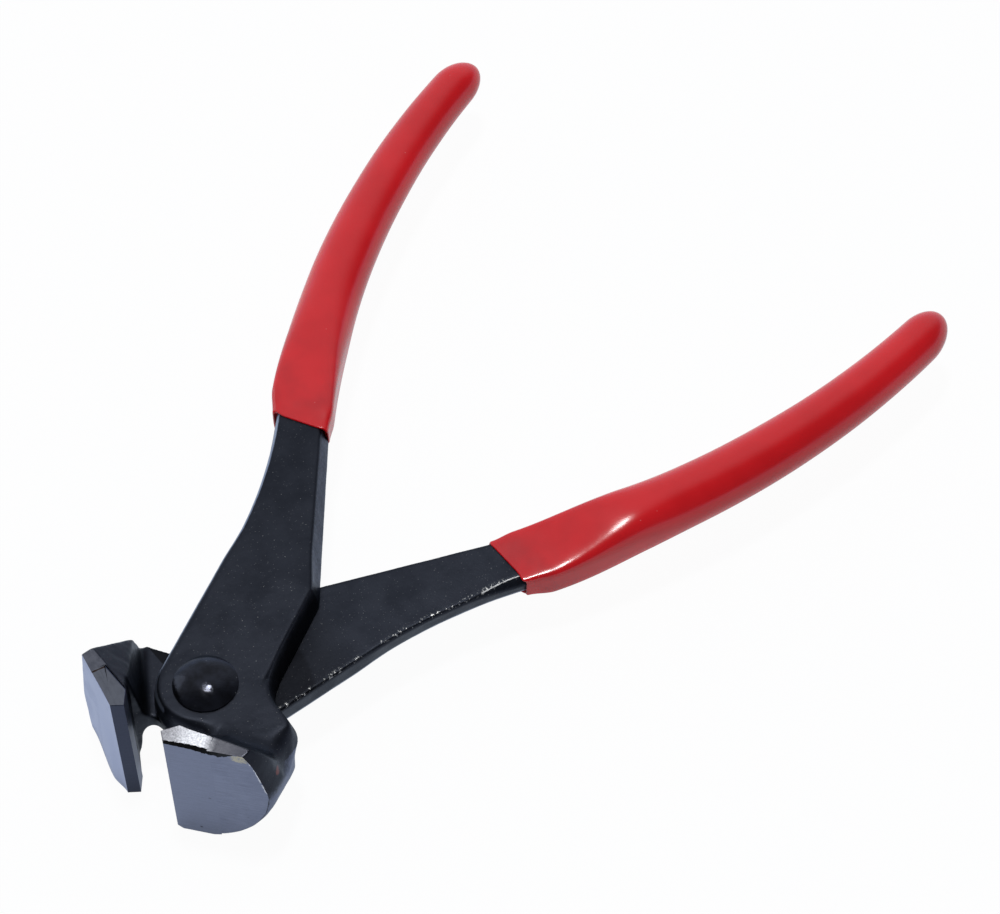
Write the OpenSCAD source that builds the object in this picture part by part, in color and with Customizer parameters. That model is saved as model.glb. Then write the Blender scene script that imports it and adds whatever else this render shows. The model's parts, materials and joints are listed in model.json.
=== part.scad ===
// End-cutting pliers: two forged halves on a lap joint, brazed cutting tips, a domed rivet, dipped grips.
// Millimetres. Z runs along the rivet, Y from the jaws to the handles, and the jaws stand on Z = 0.
// Both halves are one forging used twice: the lower half is the upper one turned over about Y.
// Half outlines are drawn with the jaws shut, the rivet at the origin and the lap plane at Z = 0.

/* [Pose] */
// Angle between the halves as drawn, where 0 is jaws shut
rest_opening = 29.6; // [12:0.1:45]

/* [Lap joint] */
// Half the width of each strap at the lap
strap_half_width = 11.1; // [10:0.1:14]
// Radius of the strap's round front
boss_radius = 10.3; // [9.5:0.1:12]
// Thickness of each half at the lap
lap_thickness = 6.5; // [5:0.1:9]
// Running gap between the two halves at the lap
lap_gap = 0.1; // [0.06:0.01:0.3]
// Bevel along the outer edges of each strap and bar
edge_bevel = 1.1; // [0.4:0.1:1.8]

/* [Rivet] */
// Diameter of the rivet's shank
shank_diameter = 8; // [6:0.1:9]
// Gap all round between the shank and the half that turns on it
shank_clearance = 0.05; // [0.02:0.01:0.1]
// Diameter of each rivet head
head_diameter = 13.6; // [11:0.1:16]
// Height of each domed head
head_height = 2.6; // [1.6:0.1:4]
// Gap between a rivet head and the half under it
head_gap = 0.05; // [0.02:0.01:0.2]

/* [Bars] */
// Distance from the rivet to the shoulder where the strap's inner edge turns away
shoulder_reach = 30; // [26:0.5:36]
// Distance from the rivet to where the strap's outer edge starts to bend
bend_reach = 33; // [24:0.5:42]
// Distance from the rivet to the front end of the grip
cuff_reach = 70.3; // [60:0.1:80]
// Width of the bar where it enters the grip
cuff_bar_width = 12.7; // [10:0.1:15]
// Thickness of the bar where it enters the grip
cuff_bar_thickness = 5.3; // [4:0.1:6.4]

/* [Jaws] */
// Length of each cutting edge along the rivet's direction
edge_length = 34; // [26:0.5:40]
// Distance from the rivet to the cutting edges
edge_reach = 18.7; // [17:0.1:22]
// Gap between the cutting edges when shut
edge_gap = 0.1; // [0.04:0.02:0.3]
// Width of the small bevel in front of the cutting edge
front_bevel_width = 2.75; // [1.5:0.05:4]
// Angle of the front bevel from the tool's length
front_bevel_angle = 35.4; // [20:0.1:50]
// Width of the bevel behind the cutting edge
back_bevel_width = 3.8; // [2.5:0.05:5]
// Angle of the back bevel from the tool's width
back_bevel_angle = 39; // [30:0.5:50]
// Sweep of the ground front face from the tool's width
face_sweep = 9.6; // [4:0.1:14]
// Flat width of the ground front face
face_width = 18.6; // [16:0.1:22]
// Radius between the front face and the cheek
face_corner_radius = 4; // [2:0.1:5]
// Radius of the cheek's rear corner
cheek_radius = 6; // [4:0.1:7]
// Distance from the front corner to the cheek's centre, along the front face
cheek_along = 17.2; // [16:0.1:19]
// Distance from the front face back to the cheek's centre
cheek_behind = 11.1; // [9.5:0.1:12.5]
// Angle of the cheek's back edge from the tool's width
cheek_back_angle = 32.6; // [22:0.1:40]
// Radius between the strap and the cheek's back edge
neck_radius = 6.5; // [3:0.1:9]
// Step from the lap plane down to the neck beside the strap
neck_relief = 1.8; // [0.4:0.1:3]
// Half the width of the hollow behind the shut cutting edges
hollow_half_width = 6.2; // [5:0.1:8]
// Angle of the hollow's inner wall from the tool's width
wall_angle = 31.8; // [26:0.1:36]
// Steepness of the slope behind the land at the half's own side
own_roof_angle = 56; // [45:0.5:65]
// Steepness of the slope behind the land at the other side
far_roof_angle = 42; // [36:0.5:60]
// Width that stays flat along the jaw's end at its own half's side
square_end_width = 16.5; // [11:0.1:18]
// Width that stays flat along the jaw's other, rounder end
round_end_width = 9; // [3:0.1:12]

/* [Cutting tips] */
// Width of each brazed tip across the tool
tip_width = 10.5; // [7:0.1:14]

/* [Grips] */
// Distance from the rivet to the end of each grip
grip_reach = 191; // [170:0.1:210]
// Radius of the handle's curve
handle_radius = 225; // [180:1:320]
// Distance from the rivet to where the shut handles stand widest
widest_reach = 146; // [130:1:160]
// Half the distance between the handles' middles there
widest_half_span = 24; // [21:0.1:28]
// Height of the cuff's lip above the bar
cuff_lip = 1.3; // [0.8:0.1:1.8]
// Wall of the dipped grip at its two narrow sides
side_wall = 2.6; // [2:0.1:3.2]
// Wall of the dipped grip on its two broad faces
face_wall = 2; // [1.8:0.1:2.6]
// Width of the swelling behind the cuff
grip_width = 14.4; // [12:0.1:17]
// Thickness of the swelling behind the cuff
grip_thickness = 12.4; // [10:0.1:15]
// Distance from the cuff over which the grip swells
swell_length = 26; // [15:1:40]
// Width of the grip where its rounded end starts
grip_end_width = 11; // [9:0.1:14]
// Thickness of the grip where its rounded end starts
grip_end_thickness = 9.8; // [8:0.1:13]
// Length of the rounded end
grip_dome = 9; // [5:0.1:12]

/* [Hidden] */
$fn = 64;
steel = "#2b2d33";
ground_steel = "#a9adb6";
rivet_steel = "#26272b";
vinyl = "#c4161c";
half_gap = lap_gap / 2;
half_edge = edge_length / 2;
past = 1;
arc_steps = 10;
bar_steps = 10;
swell_steps = 8;
taper_steps = 12;
dome_steps = 6;

// Nose of the jaw: cutting edge, front corner and the start of the inner wall
edge_point = [edge_gap / 2, -edge_reach];
front_corner = edge_point + front_bevel_width * [sin(front_bevel_angle), -cos(front_bevel_angle)];
wall_start = edge_point + back_bevel_width * [cos(back_bevel_angle), sin(back_bevel_angle)];
along = [cos(face_sweep), sin(face_sweep)];
behind = [-sin(face_sweep), cos(face_sweep)];
wall_slope = tan(wall_angle);

// Centres of the jaw outline's round stretches
face_corner_centre = front_corner + face_width * along + face_corner_radius * behind;
cheek_centre = front_corner + cheek_along * along + cheek_behind * behind;
back_normal = [sin(cheek_back_angle), cos(cheek_back_angle)];
neck_centre_x = strap_half_width + neck_radius;
neck_centre_y = (back_normal * cheek_centre + cheek_radius + neck_radius - back_normal[0] * neck_centre_x)
    / back_normal[1];

// Seen from the front, the jaw is widest level with its own half's strap
jaw_width = face_width + face_corner_radius;
widest_height = half_gap + lap_thickness / 2;

// A handle's middle line, the height of that line and the grip's half sizes along the tool.
// Both handles come back to the lap plane as they swell.
swell_end = cuff_reach + swell_length;
dome_start = grip_reach - grip_dome;
cuff_height = half_gap + cuff_bar_thickness / 2;
function handle_x(y) = handle_radius - widest_half_span
    - sqrt(pow(handle_radius, 2) - pow(y - widest_reach, 2));
function blend(t) = let (u = min(max(t, 0), 1)) u * u * (3 - 2 * u);
function mix(a, b, t) = a + (b - a) * t;
function swell(y) = blend((y - cuff_reach) / swell_length);
function handle_z(y) = cuff_height * (1 - swell(y));
function taper(y) = min(max((y - swell_end) / (dome_start - swell_end), 0), 1);
function dome(y) = y < dome_start ? 1 : sqrt(max(1 - pow((y - dome_start) / grip_dome, 2), 0));
function half_size(y, bar, swelling, end) =
    mix(mix(bar / 2 + cuff_lip, swelling / 2, swell(y)), end / 2, taper(y));
function grip_half_width(y) = half_size(y, cuff_bar_width, grip_width, grip_end_width);
function grip_half_thickness(y) = half_size(y, cuff_bar_thickness, grip_thickness, grip_end_thickness);

// A ring is a rounded rectangle in the plane of one y: the power sets how square it is
ring_sides = 28;
ring_power = 18 / 25;
function rounded(v) = sign(v) * pow(abs(v), ring_power);
function ring(y, half_width, half_thickness) = [
    for (i = [0 : ring_sides - 1])
        let (a = 360 * i / ring_sides)
            [handle_x(y) + half_width * rounded(cos(a)), y, handle_z(y) + half_thickness * rounded(sin(a))]
];
dome_cap = 97 / 100;
swell_stations = [for (i = [0 : swell_steps]) mix(cuff_reach, swell_end, i / swell_steps)];
grip_stations = concat(
    swell_stations,
    [for (i = [1 : taper_steps]) mix(swell_end, dome_start, i / taper_steps)],
    [for (i = [1 : dome_steps]) dome_start + grip_dome * sin(90 * i / dome_steps) * dome_cap]
);
grip_rings = [
    for (y = grip_stations) ring(y, grip_half_width(y) * dome(y), grip_half_thickness(y) * dome(y))
];

// The tang is the bar's end inside the grip: it starts within the bar and stops short of the rounded end
tang_embed = 5;
tang_end = dome_start - face_wall;
tang_stations = concat(
    [cuff_reach - tang_embed],
    swell_stations,
    [for (i = [1 : taper_steps]) mix(swell_end, tang_end, i / taper_steps)]
);
tang_rings = [
    for (y = tang_stations) ring(y, grip_half_width(y) - side_wall, grip_half_thickness(y) - face_wall)
];

// The pivot stands where the open part's box is centred in Y and rests on Z = 0
half_opening = rest_opening / 2;
function open_y(p) = p[0] * sin(half_opening) + p[1] * cos(half_opening);
part_front = open_y(front_corner);
part_back = max([for (r = grip_rings) for (p = r) open_y(p)]);
pivot = [0, -(part_front + part_back) / 2, half_edge];

function arc(centre, radius, from, to) = [
    for (i = [0 : arc_steps])
        let (a = mix(from, to, i / arc_steps)) centre + radius * [cos(a), sin(a)]
];
function ellipse_arc(centre, reach, from, to) = [
    for (i = [0 : arc_steps])
        let (a = mix(from, to, i / arc_steps)) centre + [reach[0] * cos(a), reach[1] * sin(a)]
];

// Solid through a list of rings that lie in planes of rising y
module loft(rings) {
    sides = len(rings[0]);
    last = len(rings) - 1;
    points = [for (r = rings) for (p = r) p];
    skin = [
        for (j = [0 : last - 1]) for (i = [0 : sides - 1])
            let (a = j * sides + i, b = j * sides + (i + 1) % sides)
                each [[a, b, b + sides], [a, b + sides, a + sides]]
    ];
    front = [[for (i = [sides - 1 : -1 : 0]) i]];
    back = [[for (i = [0 : sides - 1]) last * sides + i]];
    polyhedron(points = points, faces = concat(skin, front, back));
}

// Strap and bar, from the rivet to the cuff
bar_outer_end = handle_x(cuff_reach) - cuff_bar_width / 2;
bar_inner_end = handle_x(cuff_reach) + cuff_bar_width / 2;
bend_rise = -strap_half_width - bar_outer_end;
bend_run = cuff_reach - bend_reach;
bend_radius = (pow(bend_run, 2) + pow(bend_rise, 2)) / (2 * bend_rise);
function outer_x(y) = y < bend_reach ? -strap_half_width
    : -strap_half_width - bend_radius + sqrt(pow(bend_radius, 2) - pow(y - bend_reach, 2));
function inner_x(y) = y < shoulder_reach ? strap_half_width
    : mix(strap_half_width, bar_inner_end, (y - shoulder_reach) / (cuff_reach - shoulder_reach));
function bar_top(y) = half_gap + (y < shoulder_reach ? lap_thickness
    : mix(lap_thickness, cuff_bar_thickness, (y - shoulder_reach) / (cuff_reach - shoulder_reach)));
function bar_ring(y) = [
    [inner_x(y), y, half_gap],
    [inner_x(y), y, bar_top(y) - edge_bevel],
    [inner_x(y) - edge_bevel, y, bar_top(y)],
    [outer_x(y) + edge_bevel, y, bar_top(y)],
    [outer_x(y), y, bar_top(y) - edge_bevel],
    [outer_x(y), y, half_gap]
];
bar_stations = concat(
    [0],
    [for (i = [0 : bar_steps]) mix(shoulder_reach, cuff_reach, i / bar_steps)]
);

// The round front meets the strap's outer edge
module strap_and_bar() {
    loft([for (y = bar_stations) bar_ring(y)]);
    translate([boss_radius - strap_half_width, 0, half_gap]) {
        cylinder(h = lap_thickness - edge_bevel, r = boss_radius);
        translate([0, 0, lap_thickness - edge_bevel])
            cylinder(h = edge_bevel, r1 = boss_radius, r2 = boss_radius - edge_bevel);
    }
}

// Outline of the jaw and its neck, seen along the rivet
module jaw_outline() {
    polygon(concat(
        [front_corner, edge_point, wall_start],
        [[hollow_half_width, wall_start[1] + (hollow_half_width - wall_start[0]) * wall_slope]],
        [[hollow_half_width, 0], [strap_half_width, neck_centre_y]],
        arc([neck_centre_x, neck_centre_y], neck_radius, 180, 270 - cheek_back_angle),
        arc(cheek_centre, cheek_radius, 90 - cheek_back_angle, 0),
        arc(face_corner_centre, face_corner_radius, 0, face_sweep - 90)
    ));
}

// Everything in front of the hollow's inner wall
module in_front_of_wall() {
    reach = 2 * jaw_width;
    polygon([
        wall_start,
        wall_start + reach * [1, wall_slope],
        [wall_start[0] + reach, -2 * reach],
        [-reach, -2 * reach],
        [-reach, edge_point[1]],
        edge_point
    ]);
}

// The jaw's shape seen from the front: along the face and up
module front_shape() {
    polygon(concat(
        [[-jaw_width, half_edge], [square_end_width, half_edge]],
        ellipse_arc([round_end_width, widest_height],
                    [jaw_width - round_end_width, half_edge + widest_height], 0, -90),
        [[-jaw_width, -half_edge]]
    ));
}

// The jaw's shape seen from its side: flat lands as far back as the wall's start, then slopes to the middle
module side_shape() {
    polygon([
        [wall_start[1] - jaw_width, half_edge],
        [wall_start[1], half_edge],
        [wall_start[1] + half_edge / tan(own_roof_angle), 0],
        [wall_start[1] + half_edge / tan(far_roof_angle), 0],
        [wall_start[1], -half_edge],
        [wall_start[1] - jaw_width, -half_edge]
    ]);
}

// The full jaw before the seat of its tip is cut
module jaw_body() {
    intersection() {
        translate([0, 0, -half_edge]) linear_extrude(edge_length) jaw_outline();
        translate([0, 0, -half_edge]) linear_extrude(edge_length) in_front_of_wall();
        translate([front_corner[0], front_corner[1], 0]) rotate([0, 0, face_sweep])
            rotate([90, 0, 0]) linear_extrude(4 * jaw_width, center = true) front_shape();
        rotate([90, 0, 90]) linear_extrude(4 * jaw_width, center = true) side_shape();
    }
}

// The space of the brazed tip: all of the jaw in front of its root, out to its inner end
module tip_space() {
    translate([-past, wall_start[1] - jaw_width, -half_edge - past])
        cube([tip_width + past, jaw_width, edge_length + 2 * past]);
}

// One half with its hole, drawn as the upper half with the jaws shut
module half(hole_diameter) {
    difference() {
        union() {
            strap_and_bar();
            loft(tang_rings);
            translate([0, 0, half_gap + neck_relief])
                linear_extrude(lap_thickness - neck_relief) jaw_outline();
            jaw_body();
        }
        tip_space();
        translate([0, 0, -past]) cylinder(h = lap_thickness + 2 * past, d = hole_diameter);
    }
}

module cutting_tip() {
    intersection() {
        jaw_body();
        tip_space();
    }
}

module grip() {
    difference() {
        loft(grip_rings);
        loft(tang_rings);
    }
}

module as_upper() {
    translate(pivot) rotate([0, 0, half_opening]) children();
}

module as_lower() {
    translate(pivot) rotate([0, 0, -half_opening]) rotate([0, 180, 0]) children();
}

module upper_half() {
    color(steel) as_upper() half(shank_diameter + 2 * shank_clearance);
}

module lower_half() {
    color(steel) as_lower() half(shank_diameter);
}

module upper_cutting_tip() {
    color(ground_steel) as_upper() cutting_tip();
}

module lower_cutting_tip() {
    color(ground_steel) as_lower() cutting_tip();
}

// A head is the cap of a ball, and its flat seat lies just clear of the strap
head_seat = half_gap + lap_thickness + head_gap;
ball_radius = (pow(head_diameter / 2, 2) + pow(head_height, 2)) / (2 * head_height);
module rivet_head() {
    intersection() {
        translate([0, 0, head_seat + head_height - ball_radius]) sphere(r = ball_radius);
        translate([0, 0, head_seat]) cylinder(h = head_height + past, d = head_diameter + 2 * past);
    }
}

module pivot_rivet() {
    color(rivet_steel) translate(pivot) {
        rivet_head();
        mirror([0, 0, 1]) rivet_head();
        cylinder(h = 2 * head_seat, d = shank_diameter, center = true);
    }
}

module upper_grip() {
    color(vinyl) as_upper() grip();
}

module lower_grip() {
    color(vinyl) as_lower() grip();
}

upper_half();
lower_half();
upper_cutting_tip();
lower_cutting_tip();
pivot_rivet();
upper_grip();
lower_grip();
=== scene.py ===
"""Looks of the end-cutting pliers: forged halves, brazed cutting tips, a domed rivet and dipped grips.

Every piece is drawn with the jaws shut, in millimetres about the rivet's middle, as a piece of the upper
half. Placement then turns it to its place in the frame, in metres.
"""
import json
import logging
import math
from dataclasses import dataclass
from enum import Enum

import bpy
import numpy as np
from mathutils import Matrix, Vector


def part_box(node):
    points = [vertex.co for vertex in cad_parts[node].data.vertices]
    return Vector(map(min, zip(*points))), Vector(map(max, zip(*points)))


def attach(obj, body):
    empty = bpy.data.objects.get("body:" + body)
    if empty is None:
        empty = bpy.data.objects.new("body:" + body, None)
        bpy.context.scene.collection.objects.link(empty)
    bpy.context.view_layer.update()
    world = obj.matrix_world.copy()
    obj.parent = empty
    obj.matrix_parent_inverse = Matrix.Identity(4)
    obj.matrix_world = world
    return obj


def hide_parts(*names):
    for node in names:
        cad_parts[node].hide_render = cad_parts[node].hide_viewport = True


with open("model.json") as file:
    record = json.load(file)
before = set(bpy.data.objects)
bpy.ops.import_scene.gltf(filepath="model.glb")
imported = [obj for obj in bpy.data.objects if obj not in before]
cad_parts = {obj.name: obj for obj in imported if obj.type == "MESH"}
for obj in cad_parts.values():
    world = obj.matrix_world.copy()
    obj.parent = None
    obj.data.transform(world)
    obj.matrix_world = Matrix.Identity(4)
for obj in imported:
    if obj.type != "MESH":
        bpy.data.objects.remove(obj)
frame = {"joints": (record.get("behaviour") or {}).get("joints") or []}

log = logging.getLogger("pliers")
MM = 0.001
MICRON = 1e-6
TINY = 1e-12
# Distance in millimetres that is given to points where a mark isn't
FAR_AWAY = 9.0
Numbers = np.ndarray | float
Span = tuple[float, float]


class Side(Enum):
    """The two halves: the lower one is the upper one turned over about Y."""

    UPPER = "upper"
    LOWER = "lower"


class Shading(Enum):
    """How a mesh's faces are shaded: smooth all over, or smooth between sharp edges."""

    SMOOTH = 0
    CREASED = 1


class FarEnd(Enum):
    """How a jaw runs to the end away from its half's own side: sloping to a land, or round in one bow."""

    SLOPED = "sloped"
    ROUND = "round"


@dataclass(frozen=True)
class Placement:
    """Carries points from the shut drawing, in millimetres about the rivet, into the frame.

    pivot: the hinge's place in the frame, in metres.
    half_opening: half the angle between the halves at rest, in radians.
    """

    pivot: tuple[float, float, float]
    half_opening: float

    @classmethod
    def from_frame(cls) -> "Placement":
        """Reads the hinge's place and the angle from shut to rest."""
        joint = frame["joints"][0]
        return cls(tuple(joint["pos_m"]), -math.radians(joint["range_deg"][0]) / 2)

    def place(self, points: np.ndarray, side: Side) -> np.ndarray:
        """Turns points over for the lower half, opens them by half the angle and moves them to the pivot.

        Args:
            points: array (n, 3) in millimetres.
            side: the half that the points belong to.

        Returns:
            Array (n, 3) in metres.
        """
        sign = 1.0 if side is Side.UPPER else -1.0
        cosine, sine = math.cos(self.half_opening), sign * math.sin(self.half_opening)
        x, y, z = sign * points[:, 0], points[:, 1], sign * points[:, 2]
        turned = np.stack([cosine * x - sine * y, sine * x + cosine * y, z], axis=1)
        return turned * MM + np.array(self.pivot)


# Helpers for surfaces


def mix(low: Numbers, high: Numbers, share: Numbers) -> Numbers:
    """Straight blend from low to high."""
    return low + (high - low) * share


def ease(share: np.ndarray) -> np.ndarray:
    """Smooth step: 3 t squared minus 2 t cubed, held at 0 and 1 outside."""
    held = np.clip(share, 0.0, 1.0)
    return held * held * (3.0 - 2.0 * held)


def rise(value: np.ndarray, span: Span) -> np.ndarray:
    """Smooth step from 0 at the span's start to 1 at its end."""
    return ease((value - span[0]) / (span[1] - span[0]))


def round_join(first: np.ndarray, second: np.ndarray, radius: Numbers) -> np.ndarray:
    """Union of two distance fields with a fillet: the lesser one, less a parabola where the two are near."""
    near = np.maximum(radius - np.abs(first - second), 0.0) / radius
    return np.minimum(first, second) - near * near * radius / 4.0


def round_meet(radius: Numbers, *fields: np.ndarray) -> np.ndarray:
    """Intersection of distance fields: the greater one, plus a parabola that rounds edges where two are near.

    Args:
        radius: size of the rounding, one number or one for each place.
        fields: two or more distance fields.

    Returns:
        The field of what lies inside all of them.
    """
    result = fields[0]
    for other in fields[1:]:
        near = np.maximum(radius - np.abs(result - other), 0.0) / radius
        result = np.maximum(result, other) + near * near * radius / 4.0
    return result


def arc(centre: np.ndarray, radius: float, start: float, end: float, steps: int = 12) -> np.ndarray:
    """Points on a circle from one angle to another, in degrees."""
    angle = np.radians(np.linspace(start, end, steps + 1))
    return np.asarray(centre) + radius * np.stack([np.cos(angle), np.sin(angle)], axis=1)


def outline_distance(outline: np.ndarray, x: np.ndarray, y: np.ndarray) -> np.ndarray:
    """Signed distance to a closed outline in the plane, negative inside.

    The distance is the least one to any edge. A point is inside where a ray from it crosses an odd number of
    edges.

    Args:
        outline: corners (n, 2), in order.
        x: coordinates, of any shape.
        y: coordinates, of the same shape.

    Returns:
        Distances in the shape of x.
    """
    least = np.full(x.shape, np.inf)
    inside = np.zeros(x.shape, bool)
    for (ax, ay), (bx, by) in zip(outline, np.roll(outline, -1, axis=0)):
        ex, ey = bx - ax, by - ay
        length = max(ex * ex + ey * ey, TINY)
        share = np.clip(((x - ax) * ex + (y - ay) * ey) / length, 0.0, 1.0)
        least = np.minimum(least, (x - ax - share * ex) ** 2 + (y - ay - share * ey) ** 2)
        crosses = (ay > y) != (by > y)
        at = ax + (y - ay) * ex / (ey if abs(ey) > TINY else TINY)
        inside ^= crosses & (x < at)
    return np.where(inside, -1.0, 1.0) * np.sqrt(least)


def ripple(points: np.ndarray, wavelength: float, seed: int, waves: int = 14) -> np.ndarray:
    """Uneven surface between about -1 and 1: a sum of sine waves in random directions.

    Args:
        points: array (n, 3).
        wavelength: mean length of the waves, in the points' unit.
        seed: seed of the directions and phases.
        waves: number of waves.

    Returns:
        Array (n,).
    """
    draw = np.random.default_rng(seed)
    direction = draw.normal(size=(waves, 3))
    direction /= np.linalg.norm(direction, axis=1, keepdims=True)
    number = 2.0 * math.pi / (wavelength * draw.uniform(0.6, 1.6, waves))
    phase = draw.uniform(0.0, 2.0 * math.pi, waves)
    return np.sin(points @ (direction * number[:, None]).T + phase).sum(axis=1) / math.sqrt(waves)


def surface_net(field: np.ndarray, corner: np.ndarray, step: float) -> tuple[np.ndarray, np.ndarray]:
    """Skin of a sampled distance field at its zero level.

    Each cell whose corners differ in sign gets one point, the mean of the places where its edges cross zero.
    Each crossing edge gets one quad through the points of the four cells around it.

    Args:
        field: distances on a grid, negative inside.
        corner: place of the grid's first node.
        step: spacing of the grid.

    Returns:
        Points (n, 3) and quads (m, 4), facing outwards.
    """
    inside = field < 0
    cells = np.array(field.shape) - 1
    owners, crossings = [], []
    for axis in range(3):
        low = tuple(slice(None, -1) if a == axis else slice(None) for a in range(3))
        high = tuple(slice(1, None) if a == axis else slice(None) for a in range(3))
        crossing = inside[low] != inside[high]
        at = np.argwhere(crossing)
        point = at.astype(float)
        point[:, axis] += field[low][crossing] / (field[low][crossing] - field[high][crossing])
        second, third = (axis + 1) % 3, (axis + 2) % 3
        around = np.repeat(at[:, None, :], 4, axis=1)
        around[:, :, second] -= np.array([1, 0, 0, 1])
        around[:, :, third] -= np.array([1, 1, 0, 0])
        leaving = inside[low][crossing]
        around = np.where(leaving[:, None, None], around, around[:, ::-1])
        owners.append(np.ravel_multi_index(tuple(np.moveaxis(around, 2, 0)), cells))
        crossings.append(point)
    quads = np.concatenate(owners)
    places = np.repeat(np.concatenate(crossings), 4, axis=0)
    _, index = np.unique(quads.ravel(), return_inverse=True)
    count = np.bincount(index)
    points = np.stack([np.bincount(index, places[:, a]) / count for a in range(3)], axis=1)
    return corner + points * step, index.reshape(-1, 4)


def neighbour_mean(points: np.ndarray, quads: np.ndarray) -> np.ndarray:
    """Mean place of each point's neighbours along the quads' edges.

    Args:
        points: array (n, 3).
        quads: point numbers (m, 4).

    Returns:
        Array (n, 3).
    """
    start = quads.ravel()
    end = np.roll(quads, -1, axis=1).ravel()
    both, other = np.concatenate([start, end]), np.concatenate([end, start])
    count = np.bincount(both, minlength=len(points))
    total = [np.bincount(both, points[other, a], len(points)) for a in range(3)]
    return np.stack(total, axis=1) / count[:, None]


def point_normals(points: np.ndarray, quads: np.ndarray) -> np.ndarray:
    """Unit normals of the points: the sum of the normals of the quads around each.

    Args:
        points: array (n, 3).
        quads: point numbers (m, 4).

    Returns:
        Array (n, 3).
    """
    face = np.cross(points[quads[:, 2]] - points[quads[:, 0]], points[quads[:, 3]] - points[quads[:, 1]])
    total = [np.bincount(quads.ravel(), np.repeat(face[:, a], 4), len(points)) for a in range(3)]
    normals = np.stack(total, axis=1)
    return normals / np.maximum(np.linalg.norm(normals, axis=1, keepdims=True), TINY)


def skin(rings: np.ndarray) -> tuple[np.ndarray, list[list[int]]]:
    """Closed skin over rings of points, with a pole at each end.

    The grid's rows follow the path and its columns go round. The poles are the means of the first and the
    last ring.

    Args:
        rings: array (rows, columns, 3); columns go anticlockwise seen against the path.

    Returns:
        Points (n, 3) and faces, facing outwards.
    """
    rows, columns = rings.shape[:2]
    points = np.concatenate([rings.reshape(-1, 3), rings[[0, -1]].mean(axis=1)])
    here = np.arange(rows * columns).reshape(rows, columns)
    right = np.roll(here, -1, axis=1)
    quads = np.stack([here[:-1], right[:-1], right[1:], here[1:]], axis=2).reshape(-1, 4)
    first, last = rows * columns, rows * columns + 1
    start = np.stack([right[0], here[0], np.full(columns, first)], axis=1)
    end = np.stack([here[-1], right[-1], np.full(columns, last)], axis=1)
    return points, quads.tolist() + start.tolist() + end.tolist()


def add_piece(name: str, points: np.ndarray, faces: list, shading: Shading,
              crease: float = math.radians(30)) -> bpy.types.Object:
    """Makes an object from points in the frame's metres.

    Args:
        name: the piece's name.
        points: array (n, 3).
        faces: lists of point numbers.
        shading: smooth, or creased at edges sharper than crease.
        crease: angle in radians.

    Returns:
        The object, at the origin.
    """
    mesh = bpy.data.meshes.new(name)
    mesh.from_pydata(points.tolist(), [], faces)
    mesh.shade_smooth()
    if shading is Shading.CREASED:
        mesh.set_sharp_from_angle(angle=crease)
    mesh.update()
    piece = bpy.data.objects.new(name, mesh)
    bpy.context.scene.collection.objects.link(piece)
    return piece


def store(piece: bpy.types.Object, name: str, values: np.ndarray) -> None:
    """Writes one number or one vector for each point of the piece, as a named attribute.

    Args:
        piece: the object.
        name: the attribute's name.
        values: array (n,) or (n, 3).
    """
    kind, field = ("FLOAT", "value") if values.ndim == 1 else ("FLOAT_VECTOR", "vector")
    attribute = piece.data.attributes.new(name, kind, "POINT")
    attribute.data.foreach_set(field, values.astype(np.float32).ravel())


# Finishes


class Nodes:
    """Shader nodes of one tree, added and linked one call at a time."""

    def __init__(self, tree: bpy.types.NodeTree) -> None:
        """Takes the tree that the nodes go into."""
        self.tree = tree

    def node(self, kind: str, inputs: dict | None = None, **settings: object) -> bpy.types.Node:
        """Adds a node.

        Args:
            kind: Blender's name of the node.
            inputs: value or output socket for each input, by name or number.
            settings: the node's own settings.

        Returns:
            The node.
        """
        made = self.tree.nodes.new(kind)
        for key, value in settings.items():
            setattr(made, key, value)
        for key, value in (inputs or {}).items():
            self.feed(made.inputs[key], value)
        return made

    def feed(self, socket: bpy.types.NodeSocket, value: object) -> None:
        """Links an output to a socket, or sets the socket's value.

        Args:
            socket: the input.
            value: an output socket, a number or a colour; a colour of three numbers gets its alpha.
        """
        if isinstance(value, bpy.types.NodeSocket):
            self.tree.links.new(value, socket)
        else:
            socket.default_value = (*value, 1.0) if socket.type == "RGBA" and len(value) == 3 else value

    def span(self, value: object, low: float, high: float, to_low: float = 0.0,
             to_high: float = 1.0) -> bpy.types.NodeSocket:
        """Maps low..high smoothly onto to_low..to_high, held at the ends."""
        inputs = {"Value": value, "From Min": low, "From Max": high, "To Min": to_low, "To Max": to_high}
        return self.node("ShaderNodeMapRange", inputs, interpolation_type="SMOOTHSTEP").outputs["Result"]

    def math(self, operation: str, *numbers: object) -> bpy.types.NodeSocket:
        """One operation on one, two or three numbers."""
        inputs = dict(enumerate(numbers))
        return self.node("ShaderNodeMath", inputs, operation=operation).outputs["Value"]

    def blend(self, share: object, first: object, second: object) -> bpy.types.NodeSocket:
        """Mixes two colours."""
        inputs = {0: share, 6: first, 7: second}
        return self.node("ShaderNodeMix", inputs, data_type="RGBA").outputs[2]


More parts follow.
